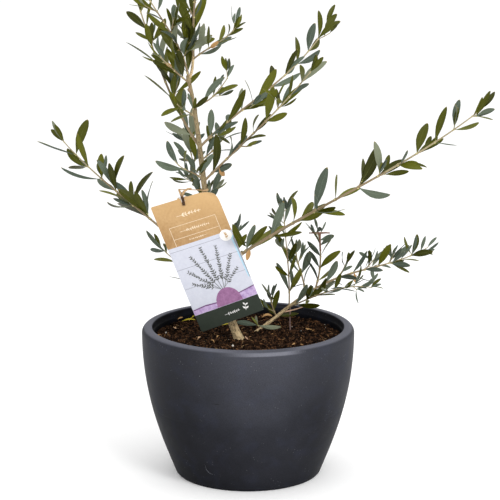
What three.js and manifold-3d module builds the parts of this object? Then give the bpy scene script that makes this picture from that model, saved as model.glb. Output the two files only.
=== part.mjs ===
// Young olive tree in a round pot, with a hanging plant label.
// Millimetres, +Z up, +X to the right; the origin is under the middle of the pot.

import * as THREE from 'three';
import { mergeVertices } from 'three/addons/utils/BufferGeometryUtils.js';
import Module from 'manifold-3d';

const wasm = await Module();
wasm.setup();

// Pot and soil
const potRadius = 140;
const potFootRadius = 96;
const potHeight = 198;
const potWall = 14;
const potFloor = 8;
const potBulge = 2.07;
const potBulgeRoot = 0.91;
const wallShares = [0.1, 0.22, 0.36, 0.54, 0.76];
const footFillet = 2;
const rimRound = 8;
const rimInnerRadius = 126.3;
const rimLipDepth = 9;
const rimLedge = 1.6;
const soilLevel = 182;
const roundSides = 40;
const clearance = 0.3;

// Plant label: a card on a paper tie
const cardWidth = 84;
const cardHeight = 172;
const cardThickness = 0.8;
const cardBow = 2.5;
const cardHolePlace = new THREE.Vector3(-82.7, -28, 368);
const cardHoleRadius = 3;
const cardHoleDown = 6;
const cardRoll = -21;
const cardPitch = -6;
const cardYaw = -4;
const tieThickness = 0.8;
const tieWidth = 2.2;
const tieLoopLength = 16;
const tieLoopDepth = 5;
const tieTrunkDistance = 206;

// Leaves and twigs
const leafWidthShare = 0.29;
const leafThicknessShare = 0.02;
const leafRootSunk = 1.5;
const leafRootShare = 0.35;
const leafMargin = 0.7;
const facetTolerance = 0.03;
const weldTolerance = 1e-3;
const pathSteps = 48;
const startStep = 0.1;
const twigSides = 3;
const twigRingLength = 20;
const limbSides = 8;
const limbRingLength = 24;
const upward = new THREE.Vector3(0, 0, 1);

// A limb grows on another limb, at a distance along it, or out of the soil at a place in plan.
// heading is its compass in plan, and rise its angle above level at the foot, middle and tip.
const limbs = {
  trunk: {
    soil: [-10.6, -22], heading: 170, rise: [65, 83, 77], length: 356, radius: [5.7, 2.3],
    flare: 1.4, flareLength: 24, knob: 0.7, knobLength: 9,
  },
  bough_leader: {
    on: 'trunk', at: 351, heading: 10, rise: [54, 83, 80], length: 31, radius: [2, 1.7],
  },
  bough_left: {
    on: 'trunk', at: 95, heading: 152, rise: [32, 30, 35], length: 94, radius: [2.2, 1.7],
  },
  bough_right_long: {
    on: 'trunk', at: 95, heading: 338, rise: [41, 40, 37], length: 46, radius: [2.5, 2.2],
  },
  bough_right_low: {
    soil: [10, 27], heading: 12, rise: [30, 37, 24], length: 106, radius: [3.3, 1.7],
    flare: 0.7, flareLength: 14,
  },
};

// A mass is one leafy stem. Its leaves stand in pairs from `first` on, `gap` apart, each pair
// turned a quarter from the last; `twigs` is the length of side twigs in its leaf axils, and
// `facing` the compass of the light that its leaves are `turned` to.
const massHabit = {
  shrink: 0.25, bare: 0.08, up: 0.3, turned: 0.5, facing: 270, twigs: 0, every: 3, start: 2,
};
const masses = {
  foliage_left: {
    on: 'bough_left', at: 94, heading: 152, rise: [34, 33, 43], length: 191, radius: [1.6, 0.7],
    first: 26, gap: 32, leaf: 50, spread: 52, roll: 60, seed: 52,
  },
  foliage_left_low: {
    on: 'trunk', at: 56, heading: 140, rise: [28, 25, 33], length: 127, radius: [1.3, 0.6],
    first: 50, gap: 26, leaf: 36, spread: 48, roll: 120, seed: 46,
  },
  foliage_right_long: {
    on: 'bough_right_long', at: 46, heading: 338, rise: [35, 31, 40], length: 377, radius: [2.1, 0.7],
    first: 6, gap: 38, leaf: 45, spread: 48, roll: 150, seed: 98, twigs: 26,
  },
  foliage_right_low: {
    on: 'bough_right_low', at: 106, heading: 12, rise: [26, 12, 29], length: 157, radius: [1.6, 0.6],
    first: 8, gap: 20, leaf: 31, spread: 50, roll: 120, seed: 64, twigs: 26, every: 2, start: 1, facing: 70,
  },
  foliage_upright: {
    on: 'bough_right_low', at: 56, heading: 70, rise: [85, 104, 101], length: 139, radius: [1.1, 0.6],
    first: 20, gap: 23, leaf: 33, spread: 48, roll: 150, seed: 26, facing: 70,
  },
  foliage_upright_short: {
    on: 'bough_right_low', at: 83, heading: 150, rise: [89, 70, 83], length: 58, radius: [1.3, 0.9],
    first: 12, gap: 17, leaf: 31, spread: 50, roll: 150, seed: 55, facing: 70,
  },
  foliage_upright_right: {
    on: 'bough_right_low', at: 99, heading: 50, rise: [60, 89, 109], length: 82, radius: [1.3, 0.8],
    first: 10, gap: 18, leaf: 31, spread: 55, roll: 90, seed: 83, facing: 70,
  },
  foliage_droop: {
    on: 'bough_right_low', at: 54, heading: 322, rise: [26, 22, 0], length: 145, radius: [1.1, 0.5],
    first: 14, gap: 19, leaf: 28, spread: 32, roll: 90, seed: 117, facing: 90,
  },
  foliage_foot: {
    on: 'bough_right_low', at: 35, heading: 190, rise: [53, 77, 75], length: 32, radius: [1, 0.6],
    first: 8, gap: 12, leaf: 26, spread: 48, roll: 90, seed: 6, facing: 90,
  },
  foliage_right_middle: {
    on: 'trunk', at: 217, heading: 318, rise: [41, 40, 47], length: 240, radius: [1.7, 0.7],
    first: 20, gap: 32, leaf: 38, spread: 40, roll: 90, seed: 109, twigs: 24,
  },
  foliage_right_upper: {
    on: 'trunk', at: 262, heading: 46, rise: [32, 25, 47], length: 285, radius: [1.7, 0.7],
    first: 22, gap: 34, leaf: 39, spread: 40, roll: 30, seed: 96, twigs: 28,
  },
  foliage_back: {
    on: 'trunk', at: 245, heading: 65, rise: [10, 17, 30], length: 80, radius: [1.2, 0.6],
    first: 14, gap: 18, leaf: 31, spread: 48, roll: 120, seed: 20,
  },
  foliage_right_high: {
    on: 'trunk', at: 318, heading: 30, rise: [-10, 37, 50], length: 62, radius: [1.3, 0.6],
    first: 14, gap: 18, leaf: 33, spread: 42, roll: 150, seed: 68,
  },
  foliage_right_top: {
    on: 'bough_leader', at: 26, heading: 330, rise: [40, 30, 50], length: 78, radius: [1.2, 0.6],
    first: 12, gap: 18, leaf: 32, spread: 42, roll: 60, seed: 32,
  },
  foliage_upper_left: {
    on: 'trunk', at: 262, heading: 136, rise: [43, 61, 66], length: 255, radius: [1.8, 0.7],
    first: 20, gap: 29, leaf: 44, spread: 46, roll: 120, seed: 103, twigs: 26,
  },
  foliage_front_left: {
    on: 'trunk', at: 217, heading: 235, rise: [46, 22, 47], length: 72, radius: [1.2, 0.6],
    first: 14, gap: 18, leaf: 32, spread: 46, roll: 30, seed: 95,
  },
  foliage_front: {
    on: 'trunk', at: 300, heading: 240, rise: [36, 24, 36], length: 52, radius: [1.2, 0.6],
    first: 12, gap: 16, leaf: 32, spread: 46, roll: 60, seed: 141,
  },
  foliage_left_high: {
    on: 'trunk', at: 345, heading: 200, rise: [42, 42, 50], length: 55, radius: [1.2, 0.6],
    first: 12, gap: 16, leaf: 34, spread: 46, roll: 30, seed: 16,
  },
  foliage_top_left: {
    on: 'trunk', at: 348, heading: 215, rise: [82, 54, 70], length: 175, radius: [1.5, 0.6],
    first: 12, gap: 20, leaf: 40, spread: 42, roll: 120, seed: 55, twigs: 32, every: 2, start: 1,
  },
  foliage_top: {
    on: 'bough_leader', at: 31, heading: 60, rise: [96, 78, 86], length: 182, radius: [1.7, 0.6],
    first: 8, gap: 21, leaf: 37, spread: 42, roll: 150, seed: 58, twigs: 46, every: 2, start: 0,
  },
  foliage_back_low: {
    on: 'trunk', at: 56, heading: 85, rise: [22, 30, 42], length: 130, radius: [1.2, 0.6],
    first: 25, gap: 20, leaf: 32, spread: 46, roll: 150, seed: 90, facing: 90,
  },
  foliage_back_high: {
    on: 'trunk', at: 150, heading: 105, rise: [38, 40, 52], length: 180, radius: [1.3, 0.6],
    first: 25, gap: 21, leaf: 35, spread: 46, roll: 60, seed: 14, twigs: 30, every: 2, start: 1, facing: 90,
  },
};

// How far pairs and their leaves stray from the rule, and how the last pair and the end leaf differ
const leafHabit = {
  angleStray: 14, spreadStray: 13, twistStray: 40, least: 0.7, most: 1.2, gapShrink: 0.3, gapStray: 0.07,
  lastReach: 0.45, lastSpread: 0.62, lastSize: 0.75, endSize: 0.5, endSpread: 8, lightRise: 35,
};

// A side twig's share of its stem's length, radius, gap and leaf
const twigHabit = {
  angle: 42, angleStray: 20, lift: 6, shorten: 0.45, least: 0.7, most: 1.25, radius: 0.7, tipRadius: 0.5,
  first: 9, gap: 0.62, leaf: 0.74, shrink: 0.2,
};

function degrees(angle) {
  return THREE.MathUtils.degToRad(angle);
}

function seededDraw(seed) {
  let state = (Math.imul(seed, 2654435761) + 12345) >>> 0;
  const draw = (low, high) => {
    state = (Math.imul(state, 1664525) + 1013904223) >>> 0;
    return low + ((high - low) * state) / 4294967296;
  };
  draw(0, 1);
  draw(0, 1);
  return draw;
}

function directionOf(heading, rise) {
  const level = Math.cos(degrees(rise));
  return new THREE.Vector3(
    level * Math.cos(degrees(heading)),
    level * Math.sin(degrees(heading)),
    Math.sin(degrees(rise)),
  );
}

// The curve through the values at the foot, the middle and the tip
function riseAt(rise, share) {
  const [foot, middle, tip] = rise;
  return foot * (1 - share) * (1 - 2 * share)
    + middle * 4 * share * (1 - share)
    + tip * share * (2 * share - 1);
}

class Stem {
  constructor(foot, { heading, rise, length, radius, flare = 0, flareLength = 1, knob = 0, knobLength = 1 }) {
    Object.assign(this, { heading, rise, length, radius, flare, flareLength, knob, knobLength });
    this.side = new THREE.Vector3(-Math.sin(degrees(heading)), Math.cos(degrees(heading)), 0);
    this.points = [foot.clone()];
    for (let step = 0; step < pathSteps; step += 1) {
      const way = directionOf(heading, riseAt(rise, (step + 0.5) / pathSteps));
      this.points.push(this.points[step].clone().addScaledVector(way, length / pathSteps));
    }
  }

  share(distance) {
    return THREE.MathUtils.clamp(distance / this.length, 0, 1);
  }

  pointAt(distance) {
    const place = this.share(distance) * pathSteps;
    const step = Math.min(Math.floor(place), pathSteps - 1);
    return this.points[step].clone().lerp(this.points[step + 1], place - step);
  }

  wayAt(distance) {
    return directionOf(this.heading, riseAt(this.rise, this.share(distance)));
  }

  radiusAt(distance) {
    const taper = THREE.MathUtils.lerp(this.radius[0], this.radius[1], this.share(distance));
    const toFoot = Math.max(1 - distance / this.flareLength, 0);
    const toTip = Math.max(1 - (this.length - distance) / this.knobLength, 0);
    return taper + this.flare * toFoot ** 2 + this.knob * Math.sin(Math.PI * Math.sqrt(toTip));
  }

  // Square to the stem, at an angle round it
  outwardAt(distance, angle) {
    const over = new THREE.Vector3().crossVectors(this.wayAt(distance), this.side);
    return this.side.clone()
      .multiplyScalar(Math.cos(degrees(angle)))
      .addScaledVector(over, Math.sin(degrees(angle)));
  }

  // A point on the skin, from a point of the unit circle
  cornerAt(distance, across, under) {
    const reach = this.radiusAt(distance);
    return this.pointAt(distance)
      .addScaledVector(this.side, across * reach)
      .addScaledVector(this.outwardAt(distance, 270), under * reach);
  }
}

function welded(geometry) {
  const bare = geometry.clone();
  bare.deleteAttribute('normal');
  bare.deleteAttribute('uv');
  return mergeVertices(bare, weldTolerance);
}

function solidOf(geometry) {
  const skin = welded(geometry);
  return new wasm.Manifold(new wasm.Mesh({
    numProp: 3,
    vertProperties: new Float32Array(skin.attributes.position.array),
    triVerts: new Uint32Array(skin.index.array),
  }));
}

// Only the largest skin is kept, which fills any pocket that crossing leaves seal between them
function largestSkin(corners, cornerCount) {
  const group = Uint32Array.from({ length: cornerCount }, (_, index) => index);
  const leader = (index) => {
    let top = index;
    while (group[top] !== top) {
      top = group[top];
    }
    return top;
  };
  for (let index = 0; index < corners.length; index += 3) {
    const top = leader(corners[index]);
    group[leader(corners[index + 1])] = top;
    group[leader(corners[index + 2])] = top;
  }
  const sizes = new Map();
  for (const corner of corners) {
    sizes.set(leader(corner), (sizes.get(leader(corner)) ?? 0) + 1);
  }
  const largest = [...sizes].sort((one, other) => other[1] - one[1])[0][0];
  return corners.filter((corner) => leader(corner) === largest);
}

function geometryOf(solid) {
  const mesh = solid.getMesh();
  const skin = largestSkin(new Uint32Array(mesh.triVerts), mesh.vertProperties.length / 3);
  const geometry = new THREE.BufferGeometry();
  geometry.setAttribute('position', new THREE.BufferAttribute(new Float32Array(mesh.vertProperties), 3));
  geometry.setIndex(new THREE.BufferAttribute(skin, 1));
  geometry.computeVertexNormals();
  return geometry;
}

// Whether each edge of the skin has just two faces
function isClean(solid) {
  const corners = welded(geometryOf(solid)).index.array;
  const faceCounts = new Map();
  for (let index = 0; index < corners.length; index += 3) {
    const [one, two, three] = corners.slice(index, index + 3);
    if (one !== two && two !== three && three !== one) {
      for (const [from, to] of [[one, two], [two, three], [three, one]]) {
        const edge = `${Math.min(from, to)} ${Math.max(from, to)}`;
        faceCounts.set(edge, (faceCounts.get(edge) ?? 0) + 1);
      }
    }
  }
  return [...faceCounts.values()].every((count) => count === 2);
}

// A piece is fused in where it meets the solid and leaves a clean skin
function fused(solid, piece) {
  if (solid.intersect(piece).isEmpty()) {
    return solid;
  }
  const union = solid.add(piece);
  return isClean(union) ? union : solid;
}

// A tapering cylinder bent along a stem; a stem out of the soil is cut flat just above it
function stemGeometry(stem, sides, ringLength, start = 0, cutLevel = null) {
  const rings = Math.max(Math.round((stem.length - start) / ringLength), 1);
  const tube = new THREE.CylinderGeometry(1, 1, 1, sides, rings);
  const corners = tube.attributes.position;
  const corner = new THREE.Vector3();
  for (let index = 0; index < corners.count; index += 1) {
    corner.fromBufferAttribute(corners, index);
    const distance = start + (corner.y + 0.5) * (stem.length - start);
    const point = stem.cornerAt(distance, corner.x, corner.z);
    if (cutLevel !== null && corner.y < -0.499) {
      const way = stem.wayAt(0);
      point.addScaledVector(way, (cutLevel - point.z) / way.z);
    }
    corners.setXYZ(index, point.x, point.y, point.z);
  }
  return tube;
}

// How far a point stands off a limb's skin, or beyond its flat tip
function standOff(limb, point) {
  const beyond = point.clone().sub(limb.pointAt(limb.length)).dot(limb.wayAt(limb.length));
  if (beyond > clearance) {
    return beyond;
  }
  const nearest = new THREE.Vector3();
  let least = Infinity;
  for (let step = 0; step < pathSteps; step += 1) {
    const piece = new THREE.Line3(limb.points[step], limb.points[step + 1]);
    piece.closestPointToPoint(point, true, nearest);
    const along = (step + piece.closestPointToPointParameter(point, true)) * limb.length / pathSteps;
    least = Math.min(least, nearest.distanceTo(point) - limb.radiusAt(along));
  }
  return least;
}

// The distance at which a stem's foot is clear of the limb that it grows on
function clearStart(stem, limb, sides) {
  const turns = Array.from({ length: sides }, (_, index) => (index * 2 * Math.PI) / sides);
  const isClear = (distance) => turns.every((turn) => (
    standOff(limb, stem.cornerAt(distance, Math.sin(turn), Math.cos(turn))) > clearance
  ));
  let start = 0;
  while (!isClear(start)) {
    start += startStep;
  }
  return start;
}

function growLeaf(stem, distance, angle, spread, size, twist, rule) {
  const way = stem.wayAt(distance);
  const along = way.clone()
    .multiplyScalar(Math.cos(degrees(spread)))
    .addScaledVector(stem.outwardAt(distance, angle), Math.sin(degrees(spread)))
    .addScaledVector(upward, rule.up)
    .normalize();
  const inner = way.clone().addScaledVector(along, -way.dot(along)).normalize();
  const face = inner.multiplyScalar(1 - rule.turned)
    .addScaledVector(directionOf(rule.facing, leafHabit.lightRise), rule.turned);
  face.addScaledVector(along, -face.dot(along)).normalize();
  face.applyAxisAngle(along, degrees(twist));
  const wide = new THREE.Vector3().crossVectors(along, face);
  const foot = stem.pointAt(Math.min(distance, stem.length - leafRootSunk))
    .addScaledVector(along, -leafRootShare * stem.radiusAt(distance));
  return { foot, along, face, wide, size };
}

function leafGeometry(leaf, margin = 0) {
  const blade = new THREE.Matrix4().makeBasis(
    leaf.along.clone().multiplyScalar((leaf.size + margin) / 2),
    leaf.face.clone().multiplyScalar((leaf.size * leafThicknessShare + margin) / 2),
    leaf.wide.clone().multiplyScalar((leaf.size * leafWidthShare + margin) / 2),
  );
  blade.setPosition(leaf.foot.clone().addScaledVector(leaf.along, (leaf.size + margin) / 2));
  return new THREE.OctahedronGeometry(1).applyMatrix4(blade);
}

// Pairs of leaves along one stem, with a side twig in some of the axils
function growSpray(stem, rule, draw, spray, isTwig = false) {
  const habit = leafHabit;
  let distance = rule.first;
  for (let pair = 0; distance < stem.length + startStep; pair += 1) {
    const share = distance / stem.length;
    const isLast = distance > stem.length - habit.lastReach * rule.gap;
    const size = rule.leaf * (1 - rule.shrink * share);
    for (const half of [0, 180]) {
      const angle = rule.roll + 90 * pair + half + draw(-habit.angleStray, habit.angleStray);
      const spread = rule.spread * (isLast ? habit.lastSpread : 1)
        + draw(-habit.spreadStray, habit.spreadStray);
      const length = size * draw(habit.least, habit.most) * (isLast ? habit.lastSize : 1);
      const twist = draw(-habit.twistStray, habit.twistStray);
      if (draw(0, 1) >= rule.bare) {
        spray.leaves.push(growLeaf(stem, distance, angle, spread, length, twist, rule));
      }
    }
    if (isLast) {
      break;
    }
    if (!isTwig && rule.twigs > 0 && pair % rule.every === rule.start) {
      growTwig(stem, distance, pair, rule, draw, spray);
    }
    distance += rule.gap * (1 - habit.gapShrink * share) * draw(1 - habit.gapStray, 1 + habit.gapStray);
  }
  const endLeaf = rule.leaf * habit.endSize;
  spray.leaves.push(growLeaf(stem, stem.length, rule.roll, habit.endSpread, endLeaf, 0, rule));
}

function growTwig(stem, distance, pair, rule, draw, spray) {
  const habit = twigHabit;
  const half = draw(0, 1) < 0.5 ? 0 : 180;
  const stray = draw(-habit.angleStray, habit.angleStray);
  const outward = stem.outwardAt(distance, rule.roll + 90 * pair + half + stray);
  const way = stem.wayAt(distance)
    .multiplyScalar(Math.cos(degrees(habit.angle)))
    .addScaledVector(outward, Math.sin(degrees(habit.angle)));
  const rise = THREE.MathUtils.radToDeg(Math.asin(way.z));
  const shorten = 1 - habit.shorten * distance / stem.length;
  const twig = new Stem(stem.pointAt(distance), {
    heading: THREE.MathUtils.radToDeg(Math.atan2(way.y, way.x)),
    rise: [rise, rise + habit.lift, rise + 2 * habit.lift],
    length: rule.twigs * shorten * draw(habit.least, habit.most),
    radius: [stem.radiusAt(distance) * habit.radius, habit.tipRadius],
  });
  const twigRule = {
    ...rule,
    first: habit.first,
    gap: rule.gap * habit.gap,
    roll: draw(0, 180),
    leaf: rule.leaf * habit.leaf,
    shrink: habit.shrink,
  };
  spray.twigs.push(twig);
  growSpray(twig, twigRule, draw, spray, true);
}

// A leaf is left out where it would touch a neighbour, and so is a twig with its leaves
function touches(geometry, neighbours) {
  const solid = solidOf(geometry);
  return neighbours.some((neighbour) => !solid.intersect(neighbour).isEmpty());
}

function massSolid(stem, start, rule, neighbours) {
  const spray = { leaves: [], twigs: [] };
  growSpray(stem, rule, seededDraw(rule.seed), spray);
  let solid = solidOf(stemGeometry(stem, twigSides, twigRingLength, start));
  for (const twig of spray.twigs) {
    const geometry = stemGeometry(twig, twigSides, twigRingLength);
    if (!touches(geometry, neighbours)) {
      solid = fused(solid, solidOf(geometry));
    }
  }
  for (const leaf of spray.leaves) {
    if (!touches(leafGeometry(leaf, leafMargin), neighbours)) {
      solid = fused(solid, solidOf(leafGeometry(leaf)));
    }
  }
  const simplified = solid.asOriginal().simplify(facetTolerance);
  return isClean(simplified) ? simplified : solid;
}

function outerRadius(height) {
  const share = height / (potHeight - rimRound);
  const swell = (1 - (1 - share) ** potBulge) ** (1 / potBulgeRoot);
  return potFootRadius + (potRadius - potFootRadius) * swell;
}

function lathed(profile) {
  const points = profile.map(([radius, height]) => new THREE.Vector2(radius, height));
  return new THREE.LatheGeometry(points, roundSides).rotateX(Math.PI / 2);
}

function potGeometry() {
  const heights = wallShares.map((share) => share * (potHeight - rimRound));
  const outside = [...heights, potHeight - rimRound].map((height) => [outerRadius(height), height]);
  const edge = [30, 60, 90].map((angle) => [
    potRadius - rimRound + rimRound * Math.cos(degrees(angle)),
    potHeight - rimRound + rimRound * Math.sin(degrees(angle)),
  ]);
  const inside = heights.reverse().map((height) => [outerRadius(height) - potWall, height]);
  return lathed([
    [0, 0],
    [potFootRadius - footFillet, 0],
    [potFootRadius, footFillet],
    ...outside,
    ...edge,
    [rimInnerRadius, potHeight],
    [rimInnerRadius, potHeight - rimLipDepth],
    [rimInnerRadius - rimLedge, potHeight - rimLipDepth - 1],
    ...inside,
    [potFootRadius - potWall, potFloor],
    [0, potFloor],
  ]);
}

function soilGeometry() {
  const wall = wallShares.map((share) => {
    const height = share * (potHeight - rimRound);
    return [outerRadius(height) - potWall - clearance, height];
  });
  return lathed([
    [0, potFloor + clearance],
    [potFootRadius - potWall - clearance, potFloor + clearance],
    ...wall,
    [rimInnerRadius - rimLedge - 1, soilLevel],
    [0, soilLevel],
  ]);
}

// A card with its hole at the origin, hanging down, its front towards -Y
function cardSolid() {
  const card = new THREE.BoxGeometry(cardWidth, cardThickness, cardHeight, 6, 1, 1);
  card.translate(0, 0, cardHoleDown - cardHeight / 2);
  const corners = card.attributes.position;
  for (let index = 0; index < corners.count; index += 1) {
    const share = corners.getX(index) / (cardWidth / 2);
    corners.setY(index, corners.getY(index) + cardBow * share ** 2);
  }
  const hole = new THREE.CylinderGeometry(cardHoleRadius, cardHoleRadius, 8, 12);
  return solidOf(card).subtract(solidOf(hole));
}

// A closed flat strap round an oval: `up` and `out` are the half axes of the oval
function strapLoop(centre, up, out) {
  const across = new THREE.Vector3().crossVectors(up, out).normalize();
  const ring = new THREE.TorusGeometry(1, 0.5, 4, 16);
  const corners = ring.attributes.position;
  for (let index = 0; index < corners.count; index += 1) {
    const angle = Math.atan2(corners.getY(index), corners.getX(index));
    const outer = Math.hypot(corners.getX(index), corners.getY(index)) - 1;
    const wide = (outer + corners.getZ(index)) * tieWidth;
    const thick = (outer - corners.getZ(index)) * tieThickness;
    const point = centre.clone()
      .addScaledVector(up, Math.cos(angle) * (1 + thick / up.length()))
      .addScaledVector(out, Math.sin(angle) * (1 + thick / out.length()))
      .addScaledVector(across, wide);
    corners.setXYZ(index, point.x, point.y, point.z);
  }
  return solidOf(ring);
}

// The card hangs on one loop through its hole, and a strap joins that to a collar on the trunk
function tieSolid(trunk, cardTurn) {
  const cardUp = new THREE.Vector3(0, 0, 1).applyEuler(cardTurn);
  const cardOut = new THREE.Vector3(0, 1, 0).applyEuler(cardTurn);
  const loopFoot = cardHoleRadius - 2 * clearance - tieThickness / 2;
  const cardLoop = strapLoop(
    cardHolePlace.clone().addScaledVector(cardUp, loopFoot + tieLoopLength / 2),
    cardUp.clone().multiplyScalar(tieLoopLength / 2),
    cardOut.multiplyScalar(tieLoopDepth / 2),
  );
  const collarRadius = trunk.radiusAt(tieTrunkDistance) + clearance + tieThickness / 2;
  const collar = trunk.pointAt(tieTrunkDistance);
  const collarSide = trunk.side.clone().multiplyScalar(collarRadius);
  const collarOver = trunk.outwardAt(tieTrunkDistance, 90).multiplyScalar(collarRadius);
  const trunkLoop = strapLoop(collar, collarSide, collarOver);
  const knot = cardHolePlace.clone().addScaledVector(cardUp, loopFoot + tieLoopLength);
  const collarEdge = collar.clone().addScaledVector(
    knot.clone().sub(collar).setZ(0).normalize(),
    collarRadius,
  );
  const strap = new THREE.BoxGeometry(tieThickness, tieWidth, knot.distanceTo(collarEdge));
  strap.lookAt(collarEdge.clone().sub(knot));
  const middle = knot.clone().add(collarEdge).multiplyScalar(0.5);
  strap.translate(middle.x, middle.y, middle.z);
  return cardLoop.add(trunkLoop).add(solidOf(strap));
}

const tree = new THREE.Group();
tree.name = 'potted_olive_tree';

const finishes = {
  pot: new THREE.MeshStandardMaterial({ color: 0x2f3135, roughness: 0.6 }),
  soil: new THREE.MeshStandardMaterial({ color: 0x3a2a20, roughness: 1 }),
  bark: new THREE.MeshStandardMaterial({ color: 0x9a8468, roughness: 0.85 }),
  leaf: new THREE.MeshStandardMaterial({ color: 0x5a6430, roughness: 0.5 }),
  card: new THREE.MeshStandardMaterial({ color: 0xc29a63, roughness: 0.6 }),
};

function place(name, geometry, finish) {
  const mesh = new THREE.Mesh(geometry, finish);
  mesh.name = name;
  tree.add(mesh);
}

const stems = {};
const solids = [];
for (const [name, geometry] of Object.entries({ pot: potGeometry(), soil: soilGeometry() })) {
  solids.push(solidOf(geometry));
  place(name, geometry, finishes[name]);
}
for (const [name, limb] of Object.entries(limbs)) {
  const parent = stems[limb.on];
  const foot = parent ? parent.pointAt(limb.at) : new THREE.Vector3(...limb.soil, soilLevel);
  const stem = new Stem(foot, limb);
  const start = parent ? clearStart(stem, parent, limbSides) : 0;
  const cutLevel = parent ? null : soilLevel + clearance;
  const geometry = stemGeometry(stem, limbSides, limbRingLength, start, cutLevel);
  stems[name] = stem;
  solids.push(solidOf(geometry));
  place(name, geometry, finishes.bark);
}

const cardTurn = new THREE.Euler(degrees(cardPitch), degrees(cardRoll), degrees(cardYaw), 'ZXY');
const cardPlace = new THREE.Matrix4().makeRotationFromEuler(cardTurn).setPosition(cardHolePlace);
const cardGeometry = geometryOf(cardSolid()).applyMatrix4(cardPlace);
solids.push(solidOf(cardGeometry));
place('plant_label', cardGeometry, finishes.card);

const tie = tieSolid(stems.trunk, cardTurn);
solids.push(tie);
place('label_tie', geometryOf(tie), finishes.card);

for (const [name, mass] of Object.entries(masses)) {
  const limb = stems[mass.on];
  const stem = new Stem(limb.pointAt(mass.at), mass);
  const start = clearStart(stem, limb, twigSides);
  const solid = massSolid(stem, start, { ...massHabit, ...mass }, solids);
  solids.push(solid);
  place(name, geometryOf(solid), finishes.leaf);
}

export default tree;
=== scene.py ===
import math

import bmesh
import bpy
import numpy as np
from mathutils import Matrix, Vector, noise
from mathutils.kdtree import KDTree


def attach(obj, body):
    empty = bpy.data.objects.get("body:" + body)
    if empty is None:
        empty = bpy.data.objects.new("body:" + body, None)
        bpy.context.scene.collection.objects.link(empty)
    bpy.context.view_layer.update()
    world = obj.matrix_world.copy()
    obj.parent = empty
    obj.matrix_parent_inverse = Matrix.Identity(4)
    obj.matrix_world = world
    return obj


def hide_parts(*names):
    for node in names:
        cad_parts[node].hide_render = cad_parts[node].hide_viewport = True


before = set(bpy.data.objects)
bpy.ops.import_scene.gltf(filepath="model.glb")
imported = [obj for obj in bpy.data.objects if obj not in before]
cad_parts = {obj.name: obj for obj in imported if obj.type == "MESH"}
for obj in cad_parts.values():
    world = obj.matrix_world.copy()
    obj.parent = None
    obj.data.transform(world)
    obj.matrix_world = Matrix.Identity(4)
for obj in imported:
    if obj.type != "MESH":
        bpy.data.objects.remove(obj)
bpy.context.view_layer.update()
mm = 0.001

# camera and light

view = {"place": (2.5, -2600, 860), "tilt": 77.83, "lens": 146.4, "sensor": 36}
studio = {
    "sky": "#FFFFFF", "skyStrength": 1.0, "floor": "#FFFFFF", "floorSize": 40000, "floorGlow": 0.07,
    "aim": (0, 0, 300),
    "key": {"place": (900, -1750, 1700), "size": 700, "power": 21},
    "fill": {"place": (1300, -900, 1500), "size": 1300, "power": 2},
    "top": {"place": (0, 300, 2300), "size": 1500, "power": 6},
}


def linearOf(hexColour):
    parts = [int(hexColour[i:i + 2], 16) / 255 for i in (1, 3, 5)]
    return (*[p / 12.92 if p <= 0.04045 else ((p + 0.055) / 1.055) ** 2.4 for p in parts], 1)


def linkSockets(material, node, sources):  # a source that is a node stands for its first live output
    for socket, source in sources.items():
        if isinstance(source, bpy.types.Node):
            source = next(output for output in source.outputs if output.enabled)
        material.node_tree.links.new(source, node.inputs[socket])


def addNode(material, kind, settings=None, sources=None):
    node = material.node_tree.nodes.new("ShaderNode" + kind)
    for name, value in (settings or {}).items():
        if isinstance(name, int) or name in node.inputs:
            node.inputs[name].default_value = value
        else:
            setattr(node, name, value)
    linkSockets(material, node, sources or {})
    return node


def newMaterial(name, hexColour, roughness, **sockets):
    material = bpy.data.materials.new(name)
    material.use_nodes = True
    material.diffuse_color = linearOf(hexColour)
    shader = material.node_tree.nodes["Principled BSDF"]
    shader.inputs["Base Color"].default_value = linearOf(hexColour)
    shader.inputs["Roughness"].default_value = roughness
    for socket, value in sockets.items():
        shader.inputs[socket.replace("_", " ")].default_value = value
    return material, shader


def plainMaterial(name, hexColour, roughness, **sockets):
    return newMaterial(name, hexColour, roughness, **sockets)[0]


def scaleFor(size, unit=mm):  # the scale of a pattern whose patches are a size in millimetres
    return 1 / (size * unit)


def tonesOf(dark, light):  # the settings of a Mix node between two colours
    return {"data_type": "RGBA", 6: linearOf(dark), 7: linearOf(light)}


# Patches of two tones, of a size in millimetres, with a relief of a height in millimetres over them.
def mottledMaterial(name, dark, light, size, roughness, relief=0.0, **sockets):
    material, shader = newMaterial(name, dark, roughness, **sockets)
    place = addNode(material, "TexCoord").outputs["Object"]
    patches = addNode(material, "TexNoise", {"Scale": scaleFor(size), "Detail": 4, "Roughness": 0.7},
                      {"Vector": place})
    share = addNode(material, "MapRange", {"From Min": 0.3, "From Max": 0.7}, {"Value": patches})
    linkSockets(material, shader, {"Base Color": addNode(material, "Mix", tonesOf(dark, light), {0: share})})
    if relief:
        bump = addNode(material, "Bump", {"Distance": relief * mm}, {"Height": patches})
        linkSockets(material, shader, {"Normal": bump})
    return material


def addLight(name, place, size, power):
    lamp = bpy.data.lights.new(name, "AREA")
    lamp.size = size * mm
    lamp.energy = power
    light = bpy.data.objects.new(name, lamp)
    light.location = Vector(place) * mm
    light.rotation_euler = (Vector(studio["aim"]) * mm - light.location).to_track_quat("-Z", "Y").to_euler()
    bpy.context.scene.collection.objects.link(light)


camera = bpy.data.objects.new("camera", bpy.data.cameras.new("camera"))
camera.data.lens = view["lens"]
camera.data.sensor_width = view["sensor"]
camera.location = Vector(view["place"]) * mm
camera.rotation_euler = (math.radians(view["tilt"]), 0, 0)
bpy.context.scene.collection.objects.link(camera)
bpy.context.scene.camera = camera
bpy.context.scene.view_settings.view_transform = "Standard"
bpy.context.scene.view_settings.look = "None"

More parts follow.
